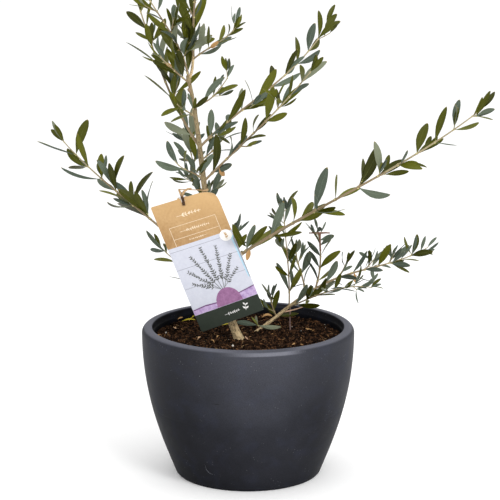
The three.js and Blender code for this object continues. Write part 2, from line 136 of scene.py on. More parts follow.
world = bpy.data.worlds.new("studio")
world.use_nodes = True
background = world.node_tree.nodes["Background"]
background.inputs["Color"].default_value = linearOf(studio["sky"])
background.inputs["Strength"].default_value = studio["skyStrength"]
bpy.context.scene.world = world
for lamp in ("key", "fill", "top"):
    addLight(lamp, **studio[lamp])

# A white sweep, rolled with matt paint: a plain ground that only the soft shadow marks.
floorMaterial = plainMaterial("paintedFloor", studio["floor"], 0.9,
                              Emission_Color=(1, 1, 1, 1), Emission_Strength=studio["floorGlow"])
floorMesh = bmesh.new()
bmesh.ops.create_grid(floorMesh, x_segments=1, y_segments=1, size=studio["floorSize"] * mm / 2)
floorData = bpy.data.meshes.new("floor")
floorMesh.to_mesh(floorData)
floorMesh.free()
floorData.materials.append(floorMaterial)
floor = bpy.data.objects.new("floor", floorData)
bpy.context.scene.collection.objects.link(floor)
print("camera, lights and floor")

# growth: the same rule as the solids', in millimetres

pathSteps = 48
leafWidth = 0.29
soilLevel = 182

limbs = {
    "trunk": {"soil": (-10.6, -22), "heading": 170, "rise": (65, 83, 77), "length": 356,
              "radius": (5.7, 2.3), "flare": (1.4, 24), "knob": (0.7, 9)},
    "bough_leader": {"on": "trunk", "at": 351, "heading": 10, "rise": (54, 83, 80), "length": 31,
                     "radius": (2, 1.7)},
    "bough_left": {"on": "trunk", "at": 95, "heading": 152, "rise": (32, 30, 35), "length": 94,
                   "radius": (2.2, 1.7)},
    "bough_right_long": {"on": "trunk", "at": 95, "heading": 338, "rise": (41, 40, 37), "length": 46,
                         "radius": (2.5, 2.2)},
    "bough_right_low": {"soil": (10, 27), "heading": 12, "rise": (30, 37, 24), "length": 106,
                        "radius": (3.3, 1.7), "flare": (0.7, 14), "slim": (0.42, 0.42, 18)},
}
massHabit = {"shrink": 0.25, "bare": 0.08, "up": 0.3, "turned": 0.68, "facing": 270, "twigs": 0,
             "every": 3, "start": 2}
# a mass has a row: the columns' values, then what differs from massHabit
massColumns = ("on", "at", "heading", "rise", "length", "radius", "first", "gap", "leaf", "spread", "roll",
               "seed")
massRows = {
    "left": ("bough_left", 94, 152, (34, 33, 43), 191, (1.6, 0.7), 26, 32, 50, 52, 60, 52, {}),
    "left_low": ("trunk", 56, 140, (28, 25, 33), 127, (1.3, 0.6), 50, 26, 36, 48, 120, 46, {}),
    "right_long": ("bough_right_long", 46, 338, (35, 31, 40), 377, (2.1, 0.7), 6, 38, 45, 48, 150, 98,
                   {"twigs": 26}),
    "right_low": ("bough_right_low", 106, 12, (26, 12, 29), 157, (1.6, 0.6), 8, 20, 31, 50, 120, 64,
                  {"twigs": 26, "every": 2, "start": 1, "facing": 70}),
    "upright": ("bough_right_low", 56, 70, (85, 104, 101), 139, (1.1, 0.6), 20, 23, 33, 48, 150, 26,
                {"facing": 70}),
    "upright_short": ("bough_right_low", 83, 150, (89, 70, 83), 58, (1.3, 0.9), 12, 17, 31, 50, 150, 55,
                      {"facing": 70}),
    "upright_right": ("bough_right_low", 99, 50, (60, 89, 109), 82, (1.3, 0.8), 10, 18, 31, 55, 90, 83,
                      {"facing": 70}),
    "droop": ("bough_right_low", 54, 322, (26, 22, 0), 145, (1.1, 0.5), 14, 19, 28, 32, 90, 117,
              {"facing": 90}),
    "foot": ("bough_right_low", 35, 190, (53, 77, 75), 32, (1, 0.6), 8, 12, 26, 48, 90, 6, {"facing": 90}),
    "right_middle": ("trunk", 217, 318, (41, 40, 47), 240, (1.7, 0.7), 20, 32, 38, 40, 90, 109,
                     {"twigs": 24}),
    "right_upper": ("trunk", 262, 46, (32, 25, 47), 285, (1.7, 0.7), 22, 34, 39, 40, 30, 96, {"twigs": 28}),
    "back": ("trunk", 245, 65, (10, 17, 30), 80, (1.2, 0.6), 14, 18, 31, 48, 120, 20, {}),
    "right_high": ("trunk", 318, 30, (-10, 37, 50), 62, (1.3, 0.6), 14, 18, 33, 42, 150, 68, {}),
    "right_top": ("bough_leader", 26, 330, (40, 30, 50), 78, (1.2, 0.6), 12, 18, 32, 42, 60, 32, {}),
    "upper_left": ("trunk", 262, 136, (43, 61, 66), 255, (1.8, 0.7), 20, 29, 44, 46, 120, 103, {"twigs": 26}),
    "front_left": ("trunk", 217, 235, (46, 22, 47), 72, (1.2, 0.6), 14, 18, 32, 46, 30, 95, {}),
    "front": ("trunk", 300, 240, (36, 24, 36), 52, (1.2, 0.6), 12, 16, 32, 46, 60, 141, {}),
    "left_high": ("trunk", 345, 200, (42, 42, 50), 55, (1.2, 0.6), 12, 16, 34, 46, 30, 16, {}),
    "top_left": ("trunk", 348, 215, (82, 54, 70), 175, (1.5, 0.6), 12, 20, 40, 42, 120, 55,
                 {"twigs": 32, "every": 2, "start": 1}),
    "top": ("bough_leader", 31, 60, (96, 78, 86), 182, (1.7, 0.6), 8, 21, 37, 42, 150, 58,
            {"twigs": 46, "every": 2, "start": 0}),
    "back_low": ("trunk", 56, 85, (22, 30, 42), 130, (1.2, 0.6), 25, 20, 32, 46, 150, 90, {"facing": 90}),
    "back_high": ("trunk", 150, 105, (38, 40, 52), 180, (1.3, 0.6), 25, 21, 35, 46, 60, 14,
                  {"twigs": 30, "every": 2, "start": 1, "facing": 90}),
}
masses = {f"foliage_{name}": {**dict(zip(massColumns, row)), **row[-1]} for name, row in massRows.items()}

# how far pairs and their leaves stray from the rule, and how the last pair and the end leaf differ
leafHabit = {"angleStray": 14, "spreadStray": 13, "twistStray": 40, "size": (0.7, 1.2), "gapShrink": 0.3,
             "gapStray": 0.07, "lastReach": 0.45, "lastSpread": 0.62, "lastSize": 0.75, "endSize": 0.5,
             "endSpread": 8, "lightRise": 35, "rootSunk": 1.5, "rootShare": 0.35, "reachSlack": 0.5}
twigHabit = {"angle": 42, "angleStray": 20, "lift": 6, "shorten": 0.45, "size": (0.7, 1.25), "radius": 0.7,
             "tipRadius": 0.5, "first": 9, "gap": 0.62, "leaf": 0.74, "shrink": 0.2, "reachSlack": 1.2}


def seededDraw(seed):
    state = [(seed * 2654435761 + 12345) % 2**32]

    def draw(low, high):
        state[0] = (state[0] * 1664525 + 1013904223) % 2**32
        return low + (high - low) * state[0] / 2**32

    draw(0, 1)
    draw(0, 1)
    return draw


def directionOf(heading, rise):
    heading, rise = math.radians(heading), math.radians(rise)
    level = math.cos(rise)
    return Vector((level * math.cos(heading), level * math.sin(heading), math.sin(rise)))


def riseAt(rise, share):  # the curve through the values at the foot, the middle and the tip
    foot, middle, tip = rise
    toMiddle = foot * (1 - share) * (1 - 2 * share) + middle * 4 * share * (1 - share)
    return toMiddle + tip * share * (2 * share - 1)


class Stem:
    def __init__(self, foot, heading, rise, length, radius, flare=(0, 1), knob=(0, 1), **others):
        self.heading, self.rise, self.length, self.radius = heading, rise, length, radius
        self.flare, self.knob = flare, knob
        self.side = Vector((-math.sin(math.radians(heading)), math.cos(math.radians(heading)), 0))
        self.points = [Vector(foot)]
        for step in range(pathSteps):
            way = directionOf(heading, riseAt(rise, (step + 0.5) / pathSteps))
            self.points.append(self.points[-1] + way * (length / pathSteps))

    def share(self, distance):
        return min(max(distance / self.length, 0), 1)

    def pointAt(self, distance):
        place = self.share(distance) * pathSteps
        step = min(int(place), pathSteps - 1)
        return self.points[step].lerp(self.points[step + 1], place - step)

    def wayAt(self, distance):
        return directionOf(self.heading, riseAt(self.rise, self.share(distance)))

    def radiusAt(self, distance):
        taper = self.radius[0] + (self.radius[1] - self.radius[0]) * self.share(distance)
        toFoot = max(1 - distance / self.flare[1], 0)
        toTip = max(1 - (self.length - distance) / self.knob[1], 0)
        return taper + self.flare[0] * toFoot**2 + self.knob[0] * math.sin(math.pi * math.sqrt(min(toTip, 1)))

    def outwardAt(self, distance, angle):
        over = self.wayAt(distance).cross(self.side)
        return self.side * math.cos(math.radians(angle)) + over * math.sin(math.radians(angle))


def leafAt(foot, along, face, size, twist=0):
    face = (face - along * face.dot(along)).normalized()
    face.rotate(Matrix.Rotation(math.radians(twist), 3, along))
    return {"foot": foot, "along": along, "face": face, "wide": along.cross(face), "size": size}


def growLeaf(stem, distance, angle, spread, size, twist, rule):
    way = stem.wayAt(distance)
    spread = math.radians(spread)
    along = way * math.cos(spread) + stem.outwardAt(distance, angle) * math.sin(spread)
    along = (along + Vector((0, 0, rule["up"]))).normalized()
    face = (way - along * way.dot(along)).normalized() * (1 - rule["turned"])
    face += directionOf(rule["facing"], leafHabit["lightRise"]) * rule["turned"]
    foot = stem.pointAt(min(distance, stem.length - leafHabit["rootSunk"]))
    foot -= along * leafHabit["rootShare"] * stem.radiusAt(distance)
    return leafAt(foot, along, face, size, twist)


def growSpray(stem, rule, draw, spray, isTwig=False):
    habit = leafHabit
    distance, pair = rule["first"], 0
    while distance < stem.length + 0.1:
        share = distance / stem.length
        isLast = distance > stem.length - habit["lastReach"] * rule["gap"]
        size = rule["leaf"] * (1 - rule["shrink"] * share)
        for half in (0, 180):
            angle = rule["roll"] + 90 * pair + half + draw(-habit["angleStray"], habit["angleStray"])
            spread = rule["spread"] * (habit["lastSpread"] if isLast else 1)
            spread += draw(-habit["spreadStray"], habit["spreadStray"])
            length = size * draw(*habit["size"]) * (habit["lastSize"] if isLast else 1)
            twist = draw(-habit["twistStray"], habit["twistStray"])
            if draw(0, 1) >= rule["bare"]:
                spray["leaves"].append(growLeaf(stem, distance, angle, spread, length, twist, rule))
        spray["joints"].append((stem, distance, rule["roll"] + 90 * pair))
        if isLast:
            break
        if not isTwig and rule["twigs"] > 0 and pair % rule["every"] == rule["start"]:
            growTwig(stem, distance, pair, rule, draw, spray)
        gap = rule["gap"] * (1 - habit["gapShrink"] * share)
        distance += gap * draw(1 - habit["gapStray"], 1 + habit["gapStray"])
        pair += 1
    spray["leaves"].append(growLeaf(stem, stem.length, rule["roll"], habit["endSpread"],
                                    rule["leaf"] * habit["endSize"], 0, rule))


def branchWay(stem, distance, angle, around):  # the heading and rise of a side shoot
    angle = math.radians(angle)
    way = stem.wayAt(distance) * math.cos(angle) + stem.outwardAt(distance, around) * math.sin(angle)
    return math.degrees(math.atan2(way.y, way.x)), math.degrees(math.asin(way.z))


def growTwig(stem, distance, pair, rule, draw, spray):
    habit = twigHabit
    half = 0 if draw(0, 1) < 0.5 else 180
    stray = draw(-habit["angleStray"], habit["angleStray"])
    heading, rise = branchWay(stem, distance, habit["angle"], rule["roll"] + 90 * pair + half + stray)
    length = rule["twigs"] * (1 - habit["shorten"] * distance / stem.length) * draw(*habit["size"])
    rises = (rise, rise + habit["lift"], rise + 2 * habit["lift"])
    radii = (stem.radiusAt(distance) * habit["radius"], habit["tipRadius"])
    twig = Stem(stem.pointAt(distance), heading, rises, length, radii)
    twigRule = {**rule, "first": habit["first"], "gap": rule["gap"] * habit["gap"], "roll": draw(0, 180),
                "leaf": rule["leaf"] * habit["leaf"], "shrink": habit["shrink"]}
    spray["twigs"].append(twig)
    growSpray(twig, twigRule, draw, spray, True)


def reachOf(nodeName):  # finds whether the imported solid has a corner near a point, in millimetres
    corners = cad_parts[nodeName].data.vertices
    tree = KDTree(len(corners))
    for index, corner in enumerate(corners):
        tree.insert(corner.co, index)
    tree.balance()
    return lambda point, slack: tree.find(point * mm)[2] < slack * mm


stems, sprays = {}, {}
for name, limb in limbs.items():
    foot = stems[limb["on"]].pointAt(limb["at"]) if "on" in limb else Vector((*limb["soil"], soilLevel))
    stems[name] = Stem(foot, **limb)
for name, mass in masses.items():
    rule = {**massHabit, **mass}
    stem = Stem(stems[mass["on"]].pointAt(mass["at"]), **mass)
    spray = {"stem": stem, "twigs": [], "leaves": [], "joints": [], "rule": rule}
    growSpray(stem, rule, seededDraw(mass["seed"]), spray)
    hasCorner = reachOf(name)
    spray["twigs"] = [t for t in spray["twigs"] if hasCorner(t.pointAt(t.length), twigHabit["reachSlack"])]
    spray["leaves"] = [leaf for leaf in spray["leaves"]
                       if hasCorner(leaf["foot"] + leaf["along"] * leaf["size"], leafHabit["reachSlack"])]
    spray["joints"] = [j for j in spray["joints"] if j[0] is stem or j[0] in spray["twigs"]]
    sprays[name] = spray
print("growth:", sum(len(s["leaves"]) for s in sprays.values()), "leaves,",
      sum(len(s["twigs"]) for s in sprays.values()), "twigs")

# pieces


def finishPiece(name, mesh, materials, replaced=(), sharp=45):
    for material in materials:
        mesh.materials.append(material)
    mesh.shade_smooth()
    mesh.set_sharp_from_angle(angle=math.radians(sharp))
    piece = bpy.data.objects.new(name, mesh)
    bpy.context.scene.collection.objects.link(piece)
    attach(piece, "root")
    if replaced:
        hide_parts(*replaced)
    return piece


def meshOf(name, bm):
    mesh = bpy.data.meshes.new(name)
    bm.to_mesh(mesh)
    bm.free()
    return mesh


def newStore():  # a mesh in the making: its corners in millimetres, its faces and their material slots
    return {"corners": [], "faces": [], "slots": []}


def addToStore(store, corners, faces, slots):
    shift = len(store["corners"])
    store["corners"] += corners
    store["faces"] += [[shift + corner for corner in face] for face in faces]
    store["slots"] += slots


def meshOfStore(name, store):
    mesh = bpy.data.meshes.new(name)
    mesh.from_pydata([corner * mm for corner in store["corners"]], [], store["faces"])
    mesh.polygons.foreach_set("material_index", store["slots"])
    mesh.update()
    return mesh


# a tapering tube bent along a stem; the attribute "grain" keeps each corner's place on the straight tube
def addTube(bm, stem, sides, ringGap, start=0, end=None, slot=0, youngFrom=None, relief=None, swell=None,
            cutLevel=None):
    end = stem.length if end is None else end
    grain = bm.verts.layers.float_vector["grain"]
    first = len(bm.verts)
    bmesh.ops.create_cone(bm, cap_ends=True, segments=sides, radius1=1, radius2=1, depth=1)
    bm.verts.ensure_lookup_table()
    uprights = [e for v in bm.verts[first:] if v.co.z < 0 for e in v.link_edges if e.other_vert(v).co.z > 0]
    bmesh.ops.subdivide_edges(bm, edges=uprights, cuts=max(round((end - start) / ringGap) - 1, 1))
    bm.verts.ensure_lookup_table()
    for corner in bm.verts[first:]:
        across, under, height = corner.co.x, corner.co.y, corner.co.z + 0.5
        distance = start + height * (end - start)
        radius = stem.radiusAt(distance)
        corner[grain] = (across * radius, under * radius, distance)
        if swell:
            radius *= swell(distance)
        if relief:
            radius += relief(Vector((across * radius, under * radius, distance)))
        outward = stem.side * across + stem.outwardAt(distance, 90) * under
        place = stem.pointAt(distance) + outward * radius
        if cutLevel is not None and height < 0.001:
            way = stem.wayAt(0)
            place += way * ((cutLevel - place.z) / way.z)
        corner.co = place * mm
    for face in {f for corner in bm.verts[first:] for f in corner.link_faces}:
        isYoung = youngFrom is not None and min(corner[grain].z for corner in face.verts) > youngFrom - 0.01
        face.material_index = slot + isYoung


def newTubes():
    bm = bmesh.new()
    bm.verts.layers.float_vector.new("grain")
    return bm


# pot

potShape = {"radius": 140, "foot": 96, "height": 198, "wall": 14, "floor": 8, "bulge": 2.07,
            "bulgeRoot": 0.91, "footRound": 2.5, "footFlat": 8, "rimRound": 8, "rimInner": 126.3,
            "innerRound": 1.6, "lipDepth": 9, "ledge": 1.6, "ledgeDrop": 1.5, "ringBias": 1.15,
            "wallRings": 40, "insideRings": 24, "steps": 192, "footSteps": 5, "rimSteps": 10, "innerSteps": 5,
            "arcEnd": 8, "ledgeRounds": (0.6, 0.5, 0.3), "ledgeClear": 0.4,
            "mouldLine": {"height": 93, "width": 0.6, "depth": 0.13, "clear": 1.5}}


def outerRadius(height):
    share = min(max(height / (potShape["height"] - potShape["rimRound"]), 0), 1)
    swell = (1 - (1 - share) ** potShape["bulge"]) ** (1 / potShape["bulgeRoot"])
    return potShape["foot"] + (potShape["radius"] - potShape["foot"]) * swell


def arcOf(centre, radius, fromAngle, toAngle, count):
    turns = [math.radians(fromAngle + (toAngle - fromAngle) * i / count) for i in range(count + 1)]
    return [(centre[0] + radius * math.cos(t), centre[1] + radius * math.sin(t)) for t in turns]


def spunMesh(profile, steps):
    bm = bmesh.new()
    corners = [bm.verts.new((r * mm, 0, z * mm)) for r, z in profile]
    edges = [bm.edges.new(pair) for pair in zip(corners, corners[1:])]
    bmesh.ops.spin(bm, geom=corners + edges, axis=(0, 0, 1), cent=(0, 0, 0), angle=2 * math.pi,
                   steps=steps, use_merge=True)
    bmesh.ops.remove_doubles(bm, verts=bm.verts, dist=1e-6)
    bmesh.ops.recalc_face_normals(bm, faces=bm.faces)
    return bm


def makePot():
    s, line = potShape, potShape["mouldLine"]
    wallTop, lip, turn = s["height"] - s["rimRound"], s["height"] - s["lipDepth"], s["footRound"]
    shares = [(i / s["wallRings"]) ** s["ringBias"] for i in range(s["wallRings"] + 1)]
    heights = [turn + (wallTop - turn) * share for share in shares]
    wall = [(outerRadius(z), z) for z in heights if abs(z - line["height"]) > line["width"] * line["clear"]]
    for step in (-1, 0, 1):
        z = line["height"] + step * line["width"]
        wall.append((outerRadius(z) - (line["depth"] if step == 0 else 0), z))
    inner, ledge, ledgeFoot = s["rimInner"], s["rimInner"] - s["ledge"], lip - s["ledgeDrop"]
    inside = [ledgeFoot - (ledgeFoot - s["floor"]) * i / s["insideRings"]
              for i in range(s["insideRings"] + 1)]
    profile = [(0, 0), (s["foot"] - s["footFlat"], 0)]
    profile += arcOf((s["foot"] - turn, turn), turn, -90, -s["arcEnd"], s["footSteps"])
    profile += sorted(wall, key=lambda corner: corner[1])
    profile += arcOf((s["radius"] - s["rimRound"], wallTop), s["rimRound"], s["arcEnd"], 90, s["rimSteps"])
    innerMiddle = (inner + s["innerRound"], s["height"] - s["innerRound"])
    profile += arcOf(innerMiddle, s["innerRound"], 90, 180, s["innerSteps"])
    above, across, edge = s["ledgeRounds"]
    profile += [(inner, lip + above), (inner - across, lip), (ledge, lip - edge), (ledge - edge, ledgeFoot)]
    profile += [(min(outerRadius(z) - s["wall"], ledge - s["ledgeClear"]), z) for z in inside]
    return meshOf("pot", spunMesh(profile + [(0, s["floor"])], s["steps"]))


# Polypropylene with charcoal pigment, rotation moulded: a satin skin with soft bluish clouds and sparse pale
# specks of pigment. Painted light and shade: darker towards the foot, lighter towards the top, a lighter belt
# down the front and back between darker sides, a painted highlight on the rim with a glint on its front and
# back edge, and painted shade on the inner wall.
def charcoalPlastic():
    material, shader = newMaterial("mouldedCharcoalPlastic", "#2E2F34", 0.5, Specular_IOR_Level=0.03)
    place = addNode(material, "TexCoord").outputs["Object"]
    axes = addNode(material, "SeparateXYZ", {}, {0: place})
    level = addNode(material, "Mapping", {"Scale": (1, 1, 0)}, {"Vector": place})
    masks = {"across": axes.outputs["X"], "up": axes.outputs["Z"],
             "out": addNode(material, "VectorMath", {"operation": "LENGTH"}, {0: level}),
             "flecks": addNode(material, "TexVoronoi", {"Scale": scaleFor(3.8)}, {"Vector": place})}
    for key, size, detail, roughness in (
            ("clouds", 70, 3, 0.55), ("patches", 17, 1, 0.5), ("wear", 22, 4, 0.5), ("pores", 1.1, 2, 0.5)):
        pattern = {"Scale": scaleFor(size), "Detail": detail, "Roughness": roughness}
        masks[key] = addNode(material, "TexNoise", pattern, {"Vector": place})
    # a mask is a ramp over a source, in millimetres where the source is a place, or the product of two masks
    for key, source, *ramp in (
            ("cloudy", "clouds", "LINEAR", 0.33, 0.67, 0, 1),
            # painted shade: "low" darkens the wall towards the foot; painted light: "high" lightens it
            # towards the top
            ("low", "up", "LINEAR", 120, 0, 0, 0.5),
            ("high", "up", "LINEAR", 90, 190, 0, 0.75),
            # painted light and shade: a lighter belt down the front and back, with darker sides
            ("pastLeft", "across", "SMOOTHSTEP", -95, 0, 0, 1),
            ("pastRight", "across", "SMOOTHSTEP", 96, 44, 0.3, 1),
            ("belt", "pastLeft", "pastRight"),
            ("paintedLightBelt", "belt", "LINEAR", 0, 1, 0.62, 1.3),
            # painted highlight on the rim's top, weaker at the front and back where the painted edge glint
            # falls
            ("glintStart", "across", "SMOOTHSTEP", -42, 22, 0, 1),
            ("glintEnd", "across", "SMOOTHSTEP", 76, 44, 0, 1),
            ("glintSpan", "glintStart", "glintEnd"),
            ("lip", "up", "SMOOTHSTEP", 195, 197.4, 0, 1),
            ("rimHighlightShare", "glintSpan", "LINEAR", 0, 1, 0.7, 0.22),
            ("paintedRimHighlight", "lip", "rimHighlightShare"),
            # painted highlight: a glint along the rim's outer edge at the front and back
            ("edgeFoot", "up", "SMOOTHSTEP", 191.4, 193, 0, 0.62),
            ("edgeTop", "up", "SMOOTHSTEP", 197, 195.6, 0, 1),
            ("edge", "edgeFoot", "edgeTop"),
            ("paintedEdgeGlint", "edge", "glintSpan"),
            # painted shade: the inner wall above the soil made near black
            ("inner", "out", "LINEAR", 127.2, 126.2, 0, 0.85),
            ("top", "up", "LINEAR", 140, 150, 0, 1),
            ("paintedInnerShade", "inner", "top"),
            ("speck", "flecks", "LINEAR", 0.16, 0.09, 0, 1),
            ("sparse", "patches", "LINEAR", 0.56, 0.66, 0, 0.32),
            ("specks", "speck", "sparse"),
            ("blue", "wear", "LINEAR", 0.48, 0.66, 0, 0.45),
            ("grained", "pores", "LINEAR", 0.3, 0.62, 0.8, 1),
            ("sheen", "wear", "LINEAR", 0, 1, 0.38, 0.58)):
        if len(ramp) == 1:
            factors = {0: masks[source], 1: masks[ramp[0]]}
            masks[key] = addNode(material, "Math", {"operation": "MULTIPLY"}, factors)
            continue
        kind, start, stop, least, most = ramp
        unit = mm if source in ("across", "up", "out") else 1
        limits = {"From Min": start * unit, "From Max": stop * unit, "To Min": least, "To Max": most}
        limits["interpolation_type"] = kind
        masks[key] = addNode(material, "MapRange", limits, {"Value": masks[source]})
    tone = addNode(material, "Mix", tonesOf("#232429", "#2D2E34"), {0: masks["cloudy"]})
    for key, blend, colour in (
            # the first six layers are painted light and shade: darker towards the foot, lighter towards the
            # top, a lighter belt between darker sides, a rim highlight, an edge glint and a near-black inner
            # wall; the specks, the blue tint and the grain are the plastic's own
            ("low", "MIX", "#0E0E11"), ("high", "MIX", "#414249"), ("paintedLightBelt", "MULTIPLY", None),
            ("paintedRimHighlight", "MIX", "#6C6D77"), ("paintedEdgeGlint", "MIX", "#84858F"), ("paintedInnerShade", "MIX", "#060607"),
            ("specks", "MIX", "#8B8C90"), ("blue", "ADD", "#0E1220"), ("grained", "MULTIPLY", None)):
        layer = {"data_type": "RGBA", "blend_type": blend, **({7: linearOf(colour)} if colour else {0: 1.0})}
        tone = addNode(material, "Mix", layer, {6: tone, 0 if colour else 7: masks[key]})
    relief = addNode(material, "Bump", {"Strength": 0.12, "Distance": 0.6 * mm}, {"Height": masks["pores"]})
    linkSockets(material, shader, {"Base Color": tone, "Roughness": masks["sheen"], "Normal": relief})
    return material


finishPiece("pot_body", makePot(), [charcoalPlastic()], ["pot"], sharp=50)
# two handling marks, each a hair-thin raised smear that follows the wall: a pale scuff and a dark rub
potMarks = {
    "scuff": {"points": ((-56.2, 37.5), (-53.7, 28.6), (-49.2, 24), (-42.7, 22.9)), "radius": 0.32,
              "tints": ("#55575E", "#6A6C74")},
    "rub": {"points": ((-45, 128.3), (-41.5, 127.5), (-38, 127.6), (-34.5, 128.6)), "radius": 0.55,
            "tints": ("#131416", "#1D1E22")},
}
markForm = {"sides": 8, "cuts": 15, "lift": 0.02, "depth": 0.12, "blunt": 0.02}


def makeMark(points, radius, **others):
    bm = bmesh.new()
    bmesh.ops.create_cone(bm, cap_ends=True, segments=markForm["sides"], radius1=1, radius2=1, depth=1)
    uprights = [e for e in bm.edges if abs(e.verts[0].co.z - e.verts[1].co.z) > 0.5]
    bmesh.ops.subdivide_edges(bm, edges=uprights, cuts=markForm["cuts"])
    for corner in bm.verts:
        share = (corner.co.z + 0.5) * (len(points) - 1)
        step = min(int(share), len(points) - 2)
        (x0, z0), (x1, z1) = points[step], points[step + 1]
        turn = Vector((x1 - x0, z1 - z0)).normalized()
        aside = corner.co.x * radius * (1 + markForm["blunt"] - abs(2 * (corner.co.z + 0.5) - 1))
        x = x0 + (x1 - x0) * (share - step) - turn.y * aside
        z = z0 + (z1 - z0) * (share - step) + turn.x * aside
        wall = -math.sqrt(outerRadius(z) ** 2 - x * x)
        corner.co = Vector((x, wall - markForm["lift"] - corner.co.y * markForm["depth"], z)) * mm
    if bm.calc_volume(signed=True) < 0:
        bmesh.ops.reverse_faces(bm, faces=bm.faces)
    return meshOf("mark", bm)


for kind, mark in potMarks.items():
    smear = mottledMaterial(f"{kind}OnPlastic", *mark["tints"], 1.5, 0.7, Specular_IOR_Level=0.15)
    finishPiece(f"pot_{kind}", makeMark(**mark), [smear])
print("pot")

# soil

soilShape = {"radius": 124.2, "rings": 46, "steps": 150, "mound": 2.5, "moundWidth": 22, "bottom": 9,
             "sideHeights": (150, 110, 70, 40, 20), "sideGap": 0.5, "skin": 1}
# lumps and grit: height, size, slice of the noise, and its roughness, lacunarity and octaves
soilWaves = ((3.4, 24, 3, 0.8, 2, 3), (1.1, 5, 7, 0.7, 2, 3))
bitHabit = {"edgeGap": 1.5, "tilt": 0.5, "bump": 0.22, "bedded": 0.5, "tints": 3}
soilBits = {
    "crumb": {"count": 7600, "length": (0.9, 3.3), "thin": (0.55, 0.95), "flat": (0.5, 0.9), "seed": 11},
    "clod": {"count": 1500, "length": (2.8, 6), "thin": (0.6, 0.95), "flat": (0.5, 0.8), "seed": 15},
    "chip": {"count": 190, "length": (3, 10), "thin": (0.14, 0.34), "flat": (0.12, 0.3), "seed": 12},
    "fibre": {"count": 170, "length": (5, 14), "thin": (0.05, 0.09), "flat": (0.05, 0.08), "seed": 13},
    "perlite": {"count": 26, "length": (1.6, 3.6), "thin": (0.7, 1), "flat": (0.6, 0.9), "seed": 14},
}


def soilHeight(x, y):
    height = soilLevel
    for high, size, layer, *grain in soilWaves:
        height += high * noise.fractal(Vector((x / size, y / size, layer)), *grain)
    toTrunk = math.hypot(x - limbs["trunk"]["soil"][0], y - limbs["trunk"]["soil"][1])
    return height + soilShape["mound"] * math.exp(-((toTrunk / soilShape["moundWidth"]) ** 2))


def makeSoil():
    s = soilShape
    top = [(s["radius"] * i / s["rings"], soilLevel) for i in range(s["rings"] + 1)]
    side = [(outerRadius(z) - potShape["wall"] - s["sideGap"], z) for z in (*s["sideHeights"], s["bottom"])]
    bm = spunMesh([(0, s["bottom"])] + side[::-1] + top[::-1], s["steps"])
    for corner in bm.verts:
        if corner.co.z > (soilLevel - s["skin"]) * mm:
            corner.co.z = soilHeight(corner.co.x / mm, corner.co.y / mm) * mm
    return meshOf("soil", bm)


def scatterBits(template, count, length, thin, flat, seed):
    rng = np.random.RandomState(seed)
    store = newStore()
    base = np.array([v.co for v in template.verts])
    shapes = [[v.index for v in f.verts] for f in template.faces]
    for index in range(count):
        reach = (soilShape["radius"] - bitHabit["edgeGap"]) * math.sqrt(rng.uniform())
        turn = rng.uniform(0, 2 * math.pi)
        x, y = reach * math.cos(turn), reach * math.sin(turn)
        size = rng.uniform(*length)
        scale = np.array([size, size * rng.uniform(*thin), size * rng.uniform(*flat)]) / 2
        heading = Matrix.Rotation(rng.uniform(0, 2 * math.pi), 3, "Z")
        turned = heading @ Matrix.Rotation(rng.uniform(-bitHabit["tilt"], bitHabit["tilt"]), 3, "Y")
        bumpy = base * (1 + rng.uniform(-bitHabit["bump"], bitHabit["bump"], (len(base), 1))) * scale
        place = np.array([x, y, soilHeight(x, y) + scale[2] * bitHabit["bedded"]])
        addToStore(store, list(bumpy @ np.array(turned).T + place), shapes,
                   [rng.randint(bitHabit["tints"])] * len(shapes))
    return store


# Bark compost, milled and moist: matt and near black, which also stands in as painted shade in the gaps
# between the crumbs, with warm brown crumbs and clods.
compost = mottledMaterial("milledBarkCompost", "#050302", "#2A1A10", 2.4, 0.95, 1, Specular_IOR_Level=0.05)
finishPiece("soil_bed", makeSoil(), [compost], ["soil"], sharp=80)
# The loose bits: crumbs and clods of compost, split pine bark, coir fibre and expanded perlite, all matt.
bitTints = {
    "crumb": ("compostCrumb", "#120B07", "#2E1F14", "#5A3F2A"),
    "clod": ("compostClod", "#140C08", "#281A11", "#3E2A1C"),
    "chip": ("splitBarkChip", "#6E4D33", "#A07A52", "#573A26"),
    "fibre": ("coirFibre", "#8A6A48", "#5E432D", "#A88A62"),
    "perlite": ("expandedPerlite", "#CFC8BC", "#E5E0D6", "#B9AE9C"),
}
grain = bmesh.new()
bmesh.ops.create_icosphere(grain, subdivisions=1, radius=1)
for kind, bits in soilBits.items():
    made, *tints = bitTints[kind]
    finishPiece(f"soil_{kind}s", meshOfStore(kind, scatterBits(grain, **bits)),
                [plainMaterial(f"{made}{i}", tint, 0.95, Specular_IOR_Level=0.05)
                 for i, tint in enumerate(tints)], sharp=30)
grain.free()
print("soil")

# trunk and boughs

limbForm = {"sides": 28, "ringGap": 1.6, "buried": 4}
barkForm = {"stretch": (0.5, 0.5, 0.06), "ridge": 0.22, "ridgeWaves": (0.8, 2, 4), "bump": 0.1,
            "bumpScale": 0.5}


